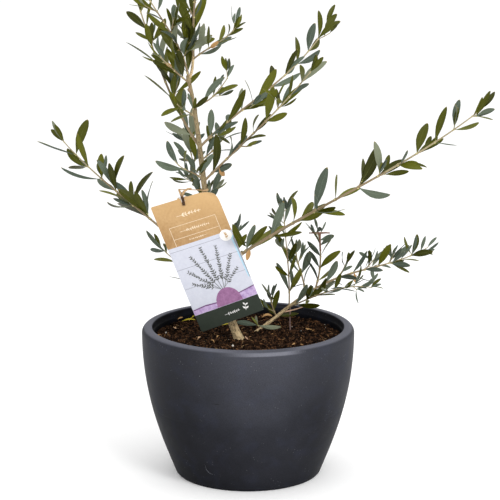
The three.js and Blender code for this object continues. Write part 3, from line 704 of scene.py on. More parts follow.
# Young olive bark, grown: a smooth grey-tan skin with fine long cracks and dark pores, greyer further up.
# Its attribute "grain" is in millimetres, so its patterns run along the stem.
def oliveBark():
    material, shader = newMaterial("smoothOliveBark", "#9A8468", 0.82, Specular_IOR_Level=0.3)
    grain = addNode(material, "Attribute", {"attribute_name": "grain"}).outputs["Vector"]
    height = addNode(material, "SeparateXYZ", {}, {0: grain}).outputs["Z"]
    long = addNode(material, "Mapping", {"Scale": (1, 1, 0.16)}, {"Vector": grain})
    streaks = addNode(material, "TexNoise", {"Scale": scaleFor(1.1, 1), "Detail": 5, "Roughness": 0.65},
                      {"Vector": long})
    clouds = addNode(material, "TexNoise", {"Scale": scaleFor(11, 1), "Detail": 2}, {"Vector": grain})
    pores = addNode(material, "TexVoronoi", {"Scale": scaleFor(4.2, 1)}, {"Vector": grain})
    tone = addNode(material, "Mix", tonesOf("#B39A73", "#E4CCA0"), {0: clouds})
    for source, start, stop, most, colour in (
            (height, 15, 110, 0.8, "#7F7254"), (streaks, 0.52, 0.36, 1, "#5E4E38"),
            (pores, 0.22, 0.13, 1, "#34281D")):
        limits = {"From Min": start, "From Max": stop, "To Max": most}
        share = addNode(material, "MapRange", limits, {"Value": source})
        tone = addNode(material, "Mix", {"data_type": "RGBA", 7: linearOf(colour)}, {0: share, 6: tone})
    relief = addNode(material, "Bump", {"Strength": 0.5, "Distance": 0.5 * mm}, {"Height": streaks})
    linkSockets(material, shader, {"Base Color": tone, "Normal": relief})
    return material


def barkRelief(point):
    ridges = noise.fractal(point * Vector(barkForm["stretch"]), *barkForm["ridgeWaves"])
    return barkForm["ridge"] * ridges + barkForm["bump"] * noise.noise(point * barkForm["bumpScale"])


bark = oliveBark()
for name, stem in stems.items():
    bm = newTubes()
    slim = limbs[name].get("slim")
    addTube(bm, stem, limbForm["sides"], limbForm["ringGap"], relief=barkRelief,
            cutLevel=soilLevel - limbForm["buried"] if "soil" in limbs[name] else None,
            swell=slim and (lambda distance: slim[0] + slim[1] * min(distance / slim[2], 1)))
    finishPiece(f"{name}_bark", meshOf(name, bm), [bark], [name], sharp=70)
print("trunk and boughs")

# foliage

leafForm = {
    "stations": (0.05, 0.15, 0.27, 0.41, 0.56, 0.7, 0.82, 0.91, 0.965),
    "halfWidth": (0.1, 0.32, 0.62, 0.9, 1.0, 0.95, 0.78, 0.53, 0.31),
    "thickness": 0.4, "edgeShare": 0.4, "ribWidth": (0.3, 0.04), "ribLift": 0.02, "leastRibs": 1.6,
    "crease": (0.55, 0.62), "fold": (0.05, 0.34), "bow": (-0.07, 0.1), "sickle": (-0.06, 0.06),
    "tipTwist": (-30, 30), "twistFrom": 0.4, "waist": (0.64, 0.92), "longer": 1.25, "flipped": 0.3,
    "stalkRadius": (0.62, 0.4), "stalkLength": 0.09, "stalkSides": 5,
    "upperShares": (0.42, 0.28, 0.24, 0.06), "underShares": (0.45, 0.35, 0.2), "seed": 21,
}
leafTints = {
    "upper": ("#444709", "#575A12", "#34370A", "#6A6C2C"),
    "under": ("#5D6757", "#4B5549", "#777C66"),
    "rib": ("#666A34", "#7F8C7C"),
    "tip": ("#7E6C3C",),
    "stalk": ("#BDB57A", "#9C9A5E"),
}
firstTint = {"upper": 0, "under": 4, "rib": 7, "tip": 9}
# Olive leaf, living: a leathery waxed upper side that shines, and a matt felted under side, greyer and bluer.
leafMaterials = [
    plainMaterial(f"{kind}{i}", tint, roughness, Specular_IOR_Level=shine)
    for kind, key, roughness, shine in (
        ("waxedLeafUpper", "upper", 0.42, 0.14), ("feltedLeafUnder", "under", 0.75, 0.15),
        ("leafRib", "rib", 0.6, 0.3), ("driedLeafTip", "tip", 0.8, 0.2))
    for i, tint in enumerate(leafTints[key])
]
# Young leaf stalks, grown: smooth, yellowish green and a little shiny.
stalkMaterials = [plainMaterial(f"leafStalk{i}", tint, 0.6) for i, tint in enumerate(leafTints["stalk"])]


def leafCorners(leaf, fold, bow, sickle, tipTwist, waist):
    form = leafForm
    size = leaf["size"] * form["longer"]
    half = size * leafWidth / 2 * waist
    foot, along, face, wide = (leaf[key] for key in ("foot", "along", "face", "wide"))
    creaseAcross, creaseLift = form["crease"]
    ribFoot, ribTip = form["ribWidth"]
    corners = []
    for station, width in zip(form["stations"], form["halfWidth"]):
        rib = (ribFoot + (ribTip - ribFoot) * station) / 2
        w = max(half * width, rib * form["leastRibs"])
        turn = math.radians(tipTwist) * (station - form["twistFrom"])
        bend = size * 4 * station * (1 - station)
        middle = foot + along * size * station + face * bend * bow + wide * bend * sickle
        out = wide * math.cos(turn) + face * math.sin(turn)
        up = face * math.cos(turn) - wide * math.sin(turn)
        thick = form["thickness"] * (form["edgeShare"] + (1 - form["edgeShare"]) * width)
        crease, creased = w * creaseAcross, fold * w * creaseLift
        for across, lift in (
                (-w, fold * w), (-crease, creased), (-rib, form["ribLift"]), (rib, form["ribLift"]),
                (crease, creased), (w, fold * w), (rib, -thick), (-rib, -thick)):
            corners.append(middle + out * across + up * lift)
    return corners + [foot + along * size]


def ringFaces(sides, rings):  # the quads between rings of corners
    faces = []
    for first in range(0, (rings - 1) * sides, sides):
        for side in range(sides):
            a, b = first + side, first + (side + 1) % sides
            faces.append((a, b, b + sides, a + sides))
    return faces


def leafFaces(upper, under):
    sides, stations = 8, len(leafForm["stations"])
    last, rib = (stations - 1) * sides, firstTint["rib"]
    tip = [(last + side, last + (side + 1) % sides, last + sides) for side in range(sides)]
    slots = [upper, upper, rib, upper, upper, under, rib + 1, under] * (stations - 1)
    return (ringFaces(sides, stations) + tip + [tuple(range(sides - 1, -1, -1))],
            slots + [firstTint["tip"]] * sides + [under])


def stalkCorners(leaf):
    foot, sides = leaf["foot"], leafForm["stalkSides"]
    tip = foot + leaf["along"] * leaf["size"] * leafForm["stalkLength"]
    footRadius, tipRadius = leafForm["stalkRadius"]
    way = (tip - foot).normalized()
    side = (leaf["wide"] - way * leaf["wide"].dot(way)).normalized()
    over = way.cross(side)
    turns = [2 * math.pi * turn / sides for turn in range(sides)]
    return [place + side * radius * math.cos(turn) + over * radius * math.sin(turn)
            for place, radius in ((foot, footRadius), (foot.lerp(tip, 0.5), tipRadius), (tip, tipRadius))
            for turn in turns]


# two leafy shoots at the foot of the low bough; each leaf: heading, rise, length
footShoots = (
    {"at": 7, "heading": 200, "rise": (62, 62, 62), "length": 6, "radius": (1, 0.7),
     "leaves": ((176, 8, 24), (188, 52, 12), (140, 74, 11), (352, -1, 25))},
    {"at": 33, "heading": 60, "rise": (40, 40, 40), "length": 3, "radius": (1, 0.8),
     "leaves": ((4, 5, 24), (182, 48, 20))},
)
for index, shape in enumerate(footShoots):
    shoot = Stem(stems["bough_right_low"].pointAt(shape["at"]), **shape)
    face = -directionOf(massHabit["facing"], leafHabit["lightRise"])
    leaves = [leafAt(shoot.pointAt(shoot.length - 0.5), directionOf(heading, rise), face, length)
              for heading, rise, length in shape["leaves"]]
    sprays[f"foot_shoot_{index}"] = {"stem": shoot, "twigs": [], "leaves": leaves, "joints": []}

# short shoots in the leaf axils, each with a pair of small leaves and an end leaf
axilHabit = {"share": {"low": 0.32, "high": 0.09}, "highFrom": 330, "angle": 45, "rollStray": 20,
             "lift": (5, 8), "length": (3, 10), "radius": (0.6, 0.4), "leaf": (0.45, 0.85),
             "leavesAt": 0.85, "spread": (24, 60), "twist": (-60, 60), "endLeaf": 0.7, "endSpread": 5,
             "seed": 33}


def growShoots(spray, rng):
    habit = axilHabit
    share = habit["share"]["high" if spray["stem"].points[0].z > habit["highFrom"] else "low"]
    spray["shoots"] = []
    for stem, distance, roll in spray["joints"]:
        for half in (0, 180):
            if rng.uniform() > share:
                continue
            rule = spray["rule"]
            around = roll + half + rng.uniform(-habit["rollStray"], habit["rollStray"])
            heading, rise = branchWay(stem, distance, habit["angle"], around)
            rises = (rise, rise + habit["lift"][0], rise + habit["lift"][1])
            length = rng.uniform(*habit["length"]) + stem.radiusAt(distance)
            shoot = Stem(stem.pointAt(distance), heading, rises, length, habit["radius"])
            spray["shoots"].append(shoot)
            shootRoll = rng.uniform(0, 180)
            for turn in (0, 180):
                size = rule["leaf"] * rng.uniform(*habit["leaf"])
                spread, twist = rng.uniform(*habit["spread"]), rng.uniform(*habit["twist"])
                spray["leaves"].append(growLeaf(shoot, shoot.length * habit["leavesAt"], shootRoll + turn,
                                                spread, size, twist, rule))
            size = rule["leaf"] * habit["endLeaf"] * rng.uniform(*habit["leaf"])
            spray["leaves"].append(growLeaf(shoot, shoot.length, 0, habit["endSpread"], size, 0, rule))


rng = np.random.RandomState(axilHabit["seed"])
for spray in sprays.values():
    growShoots(spray, rng)
print("axil shoots:", sum(len(spray["shoots"]) for spray in sprays.values()))

leafStore, stalkStore = newStore(), newStore()
sides = leafForm["stalkSides"]
stalkFaces = ringFaces(sides, 3) + [tuple(range(sides - 1, -1, -1)), tuple(range(2 * sides, 3 * sides))]
rng = np.random.RandomState(leafForm["seed"])
for spray in sprays.values():
    for leaf in spray["leaves"]:
        upper = rng.choice(4, p=leafForm["upperShares"])
        under = firstTint["under"] + rng.choice(3, p=leafForm["underShares"])
        if rng.uniform() < leafForm["flipped"]:  # some leaves hang with their felted side up
            leaf["face"], leaf["wide"] = -leaf["face"], -leaf["wide"]
        shape = [rng.uniform(*leafForm[key]) for key in ("fold", "bow", "sickle", "tipTwist", "waist")]
        addToStore(leafStore, leafCorners(leaf, *shape), *leafFaces(upper, under))
        addToStore(stalkStore, stalkCorners(leaf), stalkFaces, [rng.randint(2)] * len(stalkFaces))
finishPiece("leaves", meshOfStore("leaves", leafStore), leafMaterials, list(masses), sharp=55)
finishPiece("leaf_stalks", meshOfStore("leaf_stalks", stalkStore), stalkMaterials, sharp=55)
print("leaves")

twigForm = {"sides": 8, "ringGap": 1.6, "youngFrom": 0.6, "jointSwell": 0.35, "jointLength": 1.6,
            "shootSides": 6, "shootGap": 3, "nodeRadius": 1.1, "mostRadius": 1.3, "nodeBack": 0.4,
            "nodeOut": 0.75}
twigTints = {"greyTwigBark": "#8E7C60", "youngShootSkin": "#A39676", "creamLeafNode": "#C8BD82"}
# Olive shoots: thin greyish bark below, pale green-grey skin above, cream swellings under each leaf pair.
twigMaterials = [plainMaterial(name, tint, 0.72, Specular_IOR_Level=0.3) for name, tint in twigTints.items()]


def makeTwigs():
    form = twigForm
    bm = newTubes()
    for spray in sprays.values():
        for stem in [spray["stem"]] + spray["twigs"]:
            joints = [distance for owner, distance, roll in spray["joints"] if owner is stem]
            addTube(bm, stem, form["sides"], form["ringGap"], youngFrom=stem.length * form["youngFrom"],
                    swell=lambda distance: 1 + form["jointSwell"] * sum(
                        math.exp(-(((distance - joint) / form["jointLength"]) ** 2)) for joint in joints))
        for shoot in spray["shoots"]:
            addTube(bm, shoot, form["shootSides"], form["shootGap"], slot=1)
        for stem, distance, roll in spray["joints"]:
            for half in (0, 180):
                first = len(bm.verts)
                radius = form["nodeRadius"] * mm * min(stem.radiusAt(distance), form["mostRadius"])
                bmesh.ops.create_icosphere(bm, subdivisions=1, radius=radius)
                bm.verts.ensure_lookup_table()
                outward = stem.outwardAt(distance, roll + half) * stem.radiusAt(distance) * form["nodeOut"]
                place = stem.pointAt(distance - form["nodeBack"]) + outward
                bmesh.ops.translate(bm, verts=bm.verts[first:], vec=place * mm)
                for face in {f for corner in bm.verts[first:] for f in corner.link_faces}:
                    face.material_index = 2
    return meshOf("twigs", bm)


finishPiece("twigs", makeTwigs(), twigMaterials, sharp=60)
print("twigs")

# plant label

labelShape = {
    "width": 84, "height": 172, "thickness": 0.8, "corner": 2.2, "cornerSteps": 4, "kraft": 0.34,
    "picture": 0.53, "hole": (-82.7, -28, 368), "holeRadius": 3, "holeSides": 16, "holeFrame": 1.5,
    "holeDown": 6, "roll": -21, "pitch": -6, "yaw": -4, "bow": 2.5, "topSlack": 2.6, "swing": 5,
    "stretch": 1.03, "curl": {"from": 0.45, "depth": 0.12, "back": 13, "down": 6, "in": 5},
    "cutsLeft": (-36, -30, -24, -18, -12), "cutsRight": (12, 18, 22, 26, 30, 33, 36, 39),
    "cutsAtHole": (3, 1, -1), "cutsBelow": (-8, -12, -20, -80, -110),
}


def labelMatrix():
    matrix = Matrix.Translation(Vector(labelShape["hole"]) * mm)
    for key, axis in (("yaw", "Z"), ("pitch", "X"), ("roll", "Y")):
        matrix = matrix @ Matrix.Rotation(math.radians(labelShape[key]), 4, axis)
    return matrix


def bendToLabel(bm):
    s, curl = labelShape, labelShape["curl"]
    for corner in bm.verts:
        share = corner.co.x / mm / (s["width"] / 2)
        depth = min(max((s["holeDown"] * mm - corner.co.z) / (s["height"] * mm), 0), 1)
        corner.co.y += s["bow"] * share**2 * mm
        corner.co.z -= s["topSlack"] * share * (1 - depth) * mm
        corner.co.x = corner.co.x * s["stretch"] + s["swing"] * depth * mm
        curled = max(share - curl["from"], 0) / (1 - curl["from"]) * max(1 - depth / curl["depth"], 0)
        corner.co += Vector((-curl["in"], curl["back"], -curl["down"])) * curled**2 * mm
    bmesh.ops.transform(bm, matrix=labelMatrix(), verts=bm.verts)


def cutAcross(bm, axis, places):
    for place in places:
        everything = bm.verts[:] + bm.edges[:] + bm.faces[:]
        point = [part * place * mm for part in axis]
        bmesh.ops.bisect_plane(bm, geom=everything, plane_co=point, plane_no=axis)


def makeCard():
    s = labelShape
    bm = bmesh.new()
    front = -s["thickness"] / 2 * mm
    top, bottom, side = s["holeDown"], s["holeDown"] - s["height"], s["width"] / 2
    corners = [bm.verts.new((x * mm, front, z * mm))
               for x, z in ((-side, bottom), (side, bottom), (side, top), (-side, top))]
    bm.faces.new(corners)
    bmesh.ops.bevel(bm, geom=corners, offset=s["corner"] * mm, affect="VERTICES", segments=s["cornerSteps"],
                    profile=0.5, material=-1)
    kraftEnd = top - s["kraft"] * s["height"]
    pictureEnd = kraftEnd - s["picture"] * s["height"]
    hole = s["holeRadius"] + s["holeFrame"]
    cutAcross(bm, (1, 0, 0), (*s["cutsLeft"], -hole, hole, *s["cutsRight"]))
    cutAcross(bm, (0, 0, 1), (*s["cutsAtHole"], -hole, hole, kraftEnd, pictureEnd, *s["cutsBelow"]))
    punched = [f for f in bm.faces if f.calc_center_median().xz.length < 1 * mm]
    edges = punched[0].edges[:]
    bmesh.ops.delete(bm, geom=punched, context="FACES_ONLY")
    upright = Matrix.Translation((0, front, 0)) @ Matrix.Rotation(math.pi / 2, 4, "X")
    ring = bmesh.ops.create_circle(bm, cap_ends=False, segments=s["holeSides"], radius=s["holeRadius"] * mm,
                                   matrix=upright)
    ringEdges = list(dict.fromkeys(e for v in ring["verts"] for e in v.link_edges))
    bmesh.ops.bridge_loops(bm, edges=edges + ringEdges)
    bmesh.ops.recalc_face_normals(bm, faces=bm.faces)
    if sum(f.normal.y for f in bm.faces) > 0:
        bmesh.ops.reverse_faces(bm, faces=bm.faces)
    for face in bm.faces:
        z = face.calc_center_median().z / mm
        face.material_index = 1 if z > kraftEnd else 2 if z > pictureEnd else 3
    # beside the hole, what solidify makes depends on the last digits of the places of the cuts
    bmesh.ops.solidify(bm, geom=bm.faces[:], thickness=s["thickness"] * mm)
    for face in bm.faces:
        if face.normal.y > -0.5:
            face.material_index = 0
    bendToLabel(bm)
    return meshOf("card", bm)


# Uncoated kraft paper, offset printed: warm tan with fine fibre and soft clouds, paler towards its top edge.
def kraftPrint():
    material, shader = newMaterial("kraftPrint", "#CFA873", 0.7, Specular_IOR_Level=0.15)
    place = addNode(material, "TexCoord").outputs["Object"]
    fibre = addNode(material, "TexNoise", {"Scale": scaleFor(2.9), "Detail": 3}, {"Vector": place})
    broad = addNode(material, "TexNoise", {"Scale": scaleFor(33), "Detail": 2}, {"Vector": place})
    both = addNode(material, "Math", {"operation": "MULTIPLY"}, {0: fibre, 1: broad})
    tone = addNode(material, "MapRange", {"From Min": 0.12, "From Max": 0.38}, {"Value": both})
    paper = addNode(material, "Mix", tonesOf("#A27E54", "#B8966C"), {0: tone})
    height = addNode(material, "SeparateXYZ", {}, {0: place}).outputs["Z"]
    isTop = addNode(material, "MapRange", {"From Min": 320 * mm, "From Max": 375 * mm, "To Max": 0.75},
                    {"Value": height})
    palerToTop = addNode(material, "Mix", {"data_type": "RGBA", 7: linearOf("#CFAA78")}, {0: isTop, 6: paper})
    linkSockets(material, shader, {"Base Color": palerToTop})
    return material


# Coated card, offset printed: silky inks on white board, a little uneven over broad areas.
fineInks = {"whiteLine": "#E6E4E2", "creamInk": "#EBD9BE", "greyInk": "#8F909A", "leafInk": "#4B4D45",
            "goldInk": "#B98F4E"}
broadInks = {
    "whiteBoard": ("#E1DFDD", "#E9E7E5"), "lavenderInk": ("#C1C3CF", "#CACCD6"),
    "darkGreenInk": ("#262D25", "#2B3229"), "skyInk": ("#9CC2D8", "#B4D2E0"),
    "lilacInk": ("#84587F", "#A0749A"), "plumInk": ("#5E3E66", "#7A5880"),
    "badgeInk": ("#EFECE7", "#F5F2EE"), "mauveInk": ("#9A7CAE", "#CBB6D6"),
}
inkSlots = {name: slot for inks in (fineInks, broadInks) for slot, name in enumerate(inks)}
fineMaterials = [plainMaterial(name, tint, 0.5, Specular_IOR_Level=0.2) for name, tint in fineInks.items()]
broadMaterials = [mottledMaterial(name, *tints, 5, 0.5, Specular_IOR_Level=0.2)
                  for name, tints in broadInks.items()]
finishPiece("label_card", makeCard(), [broadMaterials[0], kraftPrint(), *broadMaterials[1:3]],
            ["plant_label"], sharp=40)

# The print: a made-up design of leafy sprays over a lilac mound, with a frame, a badge and a leaf mark.
# Places are in millimetres across and up from the card's hole; each level lies a step over the one below.
printShape = {"lift": 0.06, "step": 0.05, "sunk": 0.1, "bends": 14}
picturePatches = (  # ink, level, outline
    ("skyInk", 1, ((37.5, -60), (41.8, -60), (41.8, -118), (39.5, -118))),
    ("mauveInk", 2, ((-41.8, -143.4), (41.8, -143.4), (41.8, -131), (20, -134), (-8, -137), (-25, -135.5),
                     (-41.8, -137))),
    ("plumInk", 3, ((-41.8, -136.2), (-24, -134.6), (-8, -136), (20, -133.2), (41.8, -130), (41.8, -131.4),
                    (20, -134.6), (-8, -137.6), (-25, -136.2), (-41.8, -137.6))),
)
mound = {"middle": 6, "half": 17, "foot": -143.3, "rise": 22, "lowest": -143.2, "corners": 19, "level": 4}
badge = {"middle": (33, -57), "radius": 7.6, "corners": 28, "level": 5}
# fold: a grey strip down the card's right edge, over the sky strip
fold = ("greyInk", 2, ((39.8, -64), (41.8, -60), (41.8, -120), (41.0, -118)))
strokes = (  # ink, width, ends
    ("creamInk", 0.45, (-30, -27), (-30, -52)), ("creamInk", 0.45, (30, -27), (30, -52)),
    ("creamInk", 0.45, (-30, -27), (30, -27)), ("creamInk", 0.45, (-30, -43), (30, -43)),
    ("greyInk", 0.5, (-41.8, -58), (39, -58)), ("greyInk", 0.5, (-41.8, -82), (39, -82)),
    ("greyInk", 0.5, (-41.8, -108), (39, -108)),
)
sprigHabit = {"from": 0.22, "lean": (28, 62), "size": (0.7, 1.15), "shrink": 0.3, "apart": 0.05, "seed": 5}
sprigKinds = (  # ink, level, leaf length and slimness, gap, and the stalks: foot, heading, length, width
    ("creamInk", 1, 4.6, 0.36, 4.2, (((-16, -15), 0, 32, 0.5),)),
    ("creamInk", 1, 3.2, 0.3, 2.6, (((-19, -35), 0, 38, 0.4),)),
    ("creamInk", 1, 2.2, 0.34, 2.4, (((12, -48), 180, 24, 0.35),)),
    ("leafInk", 5, 4.6, 0.3, 3.1, (
        ((4, -123), 97, 62, 0.5), ((2, -122), 112, 56, 0.5), ((6, -122), 80, 56, 0.5),
        ((1, -121), 132, 44, 0.45), ((7, -121), 60, 44, 0.45), ((0, -120), 152, 33, 0.4),
        ((8, -120), 38, 30, 0.4))),
    ("goldInk", 6, 3.6, 0.42, 2.4, (((33, -62), 90, 9, 0.5),)),
    ("whiteLine", 1, 3.4, 0.32, 2.6, (((-6, -155), 0, 20, 0.4),)),
    ("whiteLine", 1, 5.2, 0.44, 5, (((21, -158), 78, 8, 0.5),)),
)
# half of a sprig's leaf: shares of its length and of its half width
sprigLeaf = ((0.3, 0.85), (0.6, 1))


def addPatch(bm, ink, level, outline):
    back = labelShape["thickness"] / 2 - printShape["sunk"]
    front = labelShape["thickness"] / 2 + printShape["lift"] + printShape["step"] * (level - 1)
    face = bm.faces.new([bm.verts.new((x * mm, -back * mm, z * mm)) for x, z in outline])
    made = bmesh.ops.extrude_face_region(bm, geom=[face], use_keep_orig=True)["geom"]
    raised = [part for part in made if isinstance(part, bmesh.types.BMVert)]
    bmesh.ops.translate(bm, verts=raised, vec=(0, (back - front) * mm, 0))
    for side in {f for corner in (*face.verts, *raised) for f in corner.link_faces}:
        side.material_index = inkSlots[ink]


def addStroke(bm, ink, level, width, start, end):
    start, end = Vector(start), Vector(end)
    across = (end - start).normalized().orthogonal() * width / 2
    addPatch(bm, ink, level, (start + across, start - across, end - across, end + across))


def addSprig(bm, rng, ink, level, leaf, slimness, gap, start, heading, length, width):
    habit, start = sprigHabit, Vector(start)
    way = Vector((math.cos(math.radians(heading)), math.sin(math.radians(heading))))
    addStroke(bm, ink, level, width, start, start + way * length)
    distance = length * habit["from"]
    while distance < length:
        for side in (-1, 1):
            turn = math.radians(heading + side * rng.uniform(*habit["lean"]))
            size = leaf * rng.uniform(*habit["size"]) * (1 - habit["shrink"] * distance / length)
            along = Vector((math.cos(turn), math.sin(turn))) * size
            across = along.orthogonal() * slimness / 2
            foot = start + way * (distance + habit["apart"] * side)
            left = [foot + along * far + across * wide for far, wide in sprigLeaf]
            right = [foot + along * far - across * wide for far, wide in reversed(sprigLeaf)]
            addPatch(bm, ink, level, (foot, *left, foot + along, *right))
        distance += gap


def makePicture():
    bm = bmesh.new()
    for patch in picturePatches:
        addPatch(bm, *patch)
    outline = []
    for share in np.linspace(1, -1, mound["corners"]):
        z = mound["foot"] + mound["rise"] * math.sqrt(max(1 - share**2, 0))
        outline.append((mound["middle"] + mound["half"] * share, max(z, mound["lowest"])))
    addPatch(bm, "lilacInk", mound["level"], outline)
    turns = [2 * math.pi * i / badge["corners"] for i in range(badge["corners"])]
    x, z = badge["middle"]
    outline = [(x + badge["radius"] * math.cos(turn), z + badge["radius"] * math.sin(turn)) for turn in turns]
    addPatch(bm, "badgeInk", badge["level"], outline)
    return bm


def makePrint():
    bm = bmesh.new()
    rng = np.random.RandomState(sprigHabit["seed"])
    for ink, width, start, end in strokes:
        addStroke(bm, ink, 1, width, start, end)
    addPatch(bm, *fold)
    for *kind, stalks in sprigKinds:
        for stalk in stalks:
            addSprig(bm, rng, *kind, *stalk)
    return bm


printBends = [labelShape["width"] * (i / printShape["bends"] - 0.5) for i in range(1, printShape["bends"])]
for name, bm, materials in (("label_picture", makePicture(), broadMaterials),
                            ("label_print", makePrint(), fineMaterials)):
    cutAcross(bm, (1, 0, 0), printBends)
    bmesh.ops.dissolve_degenerate(bm, edges=bm.edges, dist=1e-7)
    bmesh.ops.recalc_face_normals(bm, faces=bm.faces)
    bendToLabel(bm)
    finishPiece(name, meshOf(name, bm), materials, sharp=30)
print("label")


# Paper-covered wire: a brown twist at the card, darkened there in part as painted shade, papery tan further
# up, creased along its length.
def paperTie():
    material, shader = newMaterial("creasedPaperTie", "#7A5A3E", 0.85, Specular_IOR_Level=0.15)
    place = addNode(material, "TexCoord").outputs["Object"]
    height = addNode(material, "SeparateXYZ", {}, {0: place}).outputs["Z"]
    creases = addNode(material, "TexNoise", {"Scale": scaleFor(2.4), "Detail": 3}, {"Vector": place})
    # below 375 mm the tie is dark brown: its own brown, deepened as painted shade near the card
    isTan = addNode(material, "MapRange", {"From Min": 375 * mm, "From Max": 380 * mm}, {"Value": height})
    dark = addNode(material, "Mix", tonesOf("#2E211A", "#5E4634"), {0: creases})
    tan = addNode(material, "Mix", tonesOf("#9C7A56", "#D3B48A"), {0: creases})
    both = addNode(material, "Mix", {"data_type": "RGBA"}, {0: isTan, 6: dark, 7: tan})
    relief = addNode(material, "Bump", {"Strength": 0.6, "Distance": 0.6 * mm}, {"Height": creases})
    linkSockets(material, shader, {"Base Color": both, "Normal": relief})
    return material


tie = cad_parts["label_tie"]
tie.data.materials.clear()
tie.data.materials.append(paperTie())
print("tie")

# the loose end of the tie: a dark twist through the hole, its darkness partly painted shade, and a curled tan
# end above the card
tieTwist = {"shift": (0, -1.2, -3.5), "sides": 12, "ringGap": 0.8, "lap": 0.5}
twistParts = (  # a stem, and the height and the fineness of its creases
    ({"heading": 176, "rise": (86, 80, 74), "length": 13, "radius": (1.9, 1.3)}, 0.5, 0.9),
    ({"heading": 20, "rise": (75, 35, -20), "length": 17, "radius": (1.7, 1.1)}, 0.6, 0.7),
)


def makeTwist():
    bm = newTubes()
    foot = Vector(labelShape["hole"]) + Vector(tieTwist["shift"])
    for way, height, fine in twistParts:
        stem = Stem(foot, **way)
        addTube(bm, stem, tieTwist["sides"], tieTwist["ringGap"],
                relief=lambda point: height * noise.noise(point * fine))
        foot = stem.pointAt(stem.length - tieTwist["lap"])
    return meshOf("tie_twist", bm)


finishPiece("tie_twist", makeTwist(), [paperTie()], sharp=60)

# pruned stubs, dead twigs, a sprout and a thin grey stem

# Dead and cut wood, weathered: silvery or reddish brown, matt, with darker streaks.
oddTints = {"driedWood": ("#6A4A3C", "#92705E"), "paleSprout": ("#B48F78", "#D8B698"),
            "stubBark": ("#77644E", "#A08A70"), "greyShoot": ("#6C5650", "#8E7872")}
oddMaterials = [mottledMaterial(name, *tints, 2, 0.8, 0.3, Specular_IOR_Level=0.2)
                for name, tints in oddTints.items()]
stubForm = {"knob": (0.5, 4), "sides": 10, "ringGap": 1}
stubs = (  # distance up the trunk, heading, rise, length, radius
    (322, 196, 42, 9, (2.6, 1.9)), (332, 205, 58, 8, (2.4, 1.8)), (232, 20, 25, 5, (1.9, 1.5)),
    (150, 340, 20, 4, (2.2, 1.7)),
)
oddTwigs = {  # heading, rise, length, radius
    "dead": (262, (62, 80, 92), 27, (1.3, 1.2)), "armLeft": (182, (5, 1, -4), 15, (1.4, 0.9)),
    "armRight": (3, (5, 1, -4), 13, (1.4, 0.9)), "snag": (12, (4, 12, 16), 30, (1.2, 0.7)),
    "sprout": (160, (50, 48, 45), 9, (1.4, 0.6)),
}
thinTwig = {"heading": 180, "rise": (88, 90, 92), "radius": (1.1, 0.9)}
oddPlaces = {"deadUp": 0.62, "armsUp": 26.2, "snagOut": 44, "sprout": (1.5, -21, 181), "thinOut": 56,
             "thinAside": (1.5, 1), "thinFoot": 180}


def makeOddTwigs():
    bm, places = newTubes(), oddPlaces
    low, upright = stems["bough_right_low"], sprays["foliage_upright_right"]["stem"]
    for distance, heading, rise, length, radius in stubs:
        foot = stems["trunk"].pointAt(distance)
        stub = Stem(foot, heading, (rise, rise, rise), length, radius, knob=stubForm["knob"])
        addTube(bm, stub, stubForm["sides"], stubForm["ringGap"], slot=2, relief=barkRelief)
    dead = Stem(upright.pointAt(upright.length * places["deadUp"]), *oddTwigs["dead"])
    arms = [Stem(dead.pointAt(places["armsUp"]), *oddTwigs[side]) for side in ("armLeft", "armRight")]
    snag = Stem(low.pointAt(places["snagOut"]), *oddTwigs["snag"])
    sprout = Stem(places["sprout"], *oddTwigs["sprout"])
    top = low.pointAt(places["thinOut"])
    aside = Vector((*places["thinAside"], places["thinFoot"] - top.z))
    thin = Stem(top + aside, length=top.z - places["thinFoot"], **thinTwig)
    for stem, slot, ringGap, relief in (
            (dead, 0, 1.2, barkRelief), (arms[0], 0, 1.2, barkRelief), (arms[1], 0, 1.2, barkRelief),
            (snag, 1, 1.2, barkRelief), (sprout, 1, 1, None), (thin, 3, 1.6, barkRelief)):
        addTube(bm, stem, 8, ringGap, slot=slot, relief=relief)
    return meshOf("odd_twigs", bm)


finishPiece("pruned_stubs", makeOddTwigs(), oddMaterials, sharp=70)

# loose leaves, fallen on the soil and hanging dried on the shoots

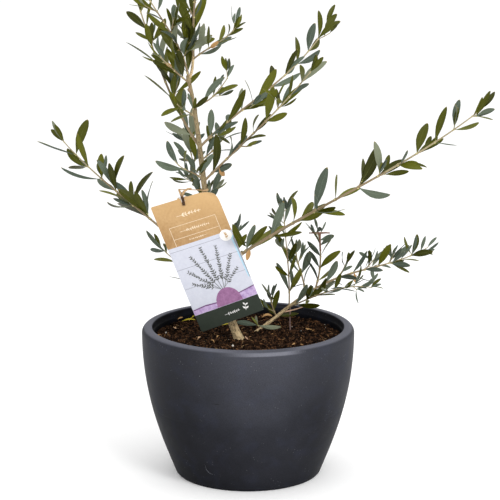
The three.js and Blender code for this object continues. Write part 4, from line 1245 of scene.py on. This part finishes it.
# Olive leaves, dead and dried: matt and papery, from yellow through tan to pale buff, and one grey.
strayTints = {"yellowedLeaf": "#B5A632", "tanDriedLeaf": "#B08A5C", "paleDriedLeaf": "#D6B18C",
              "greyLeaf": "#5E6E5E"}
strayMaterials = [plainMaterial(name, tint, 0.8, Specular_IOR_Level=0.15)
                  for name, tint in strayTints.items()]
strayHabit = {"fold": (0.2, 0.7), "bow": (-0.2, 0.2), "sickle": (-0.12, 0.12), "twist": (-70, 70), "seed": 8,
              "fallenRise": 4, "fallenFace": (0.1, -0.5, 1), "hangingFace": (0, -1, 0.4), "hangingWaist": 1.2}
fallenLeaves = (  # place, heading, length, tint, width
    ((-91, 70, 185), 10, 16, 0, 0.55), ((-90, 90, 185.5), 25, 15, 0, 0.6),
    ((-49, 48, 185), 12, 19, 0, 0.55), ((-96, 78, 186), 50, 9, 1, 0.8), ((-8, 114, 187), 8, 15, 2, 0.9),
    ((18, 86, 186), 22, 13, 1, 0.9), ((-101, 44, 185), -60, 13, 2, 0.6), ((-66, -26, 184.5), 60, 8, 2, 0.9),
    ((-37, -6, 184.5), 250, 9, 1, 0.7), ((12, -30, 184.5), 140, 10, 2, 0.5),
    ((56, -52, 184.5), 60, 9, 1, 0.6), ((-44, -40, 184.5), 120, 9, 1, 0.6),
    ((86, 30, 184.5), 160, 8, 1, 0.8),
)
hangingLeaves = (  # mass, distance, heading, rise, length, tint
    ("foliage_right_middle", 34, 300, -28, 15, 1), ("foliage_right_top", 30, 330, 35, 13, 1),
    ("foliage_right_long", 12, 250, -50, 14, 1), ("foliage_upright_right", 66, 350, 20, 17, 3),
    ("foliage_right_low", 50, 280, -60, 12, 1), ("foliage_left_high", 30, 200, 40, 10, 1),
)


def makeStrays():
    habit, stray = strayHabit, newStore()
    rng = np.random.RandomState(habit["seed"])
    rows = [(Vector(place), heading, habit["fallenRise"], habit["fallenFace"], length, tint, waist)
            for place, heading, length, tint, waist in fallenLeaves]
    for mass, distance, heading, rise, length, tint in hangingLeaves:
        foot = sprays[mass]["stem"].pointAt(distance)
        rows.append((foot, heading, rise, habit["hangingFace"], length, tint, habit["hangingWaist"]))
    for foot, heading, rise, face, length, tint, waist in rows:
        leaf = leafAt(foot, directionOf(heading, rise), Vector(face), length)
        shape = [rng.uniform(*habit[key]) for key in ("fold", "bow", "sickle", "twist")]
        faces = leafFaces(tint, tint)[0]
        addToStore(stray, leafCorners(leaf, *shape, waist), faces, [tint] * len(faces))
    return meshOfStore("stray_leaves", stray)


finishPiece("stray_leaves", makeStrays(), strayMaterials, sharp=50)
print("stubs and stray leaves")
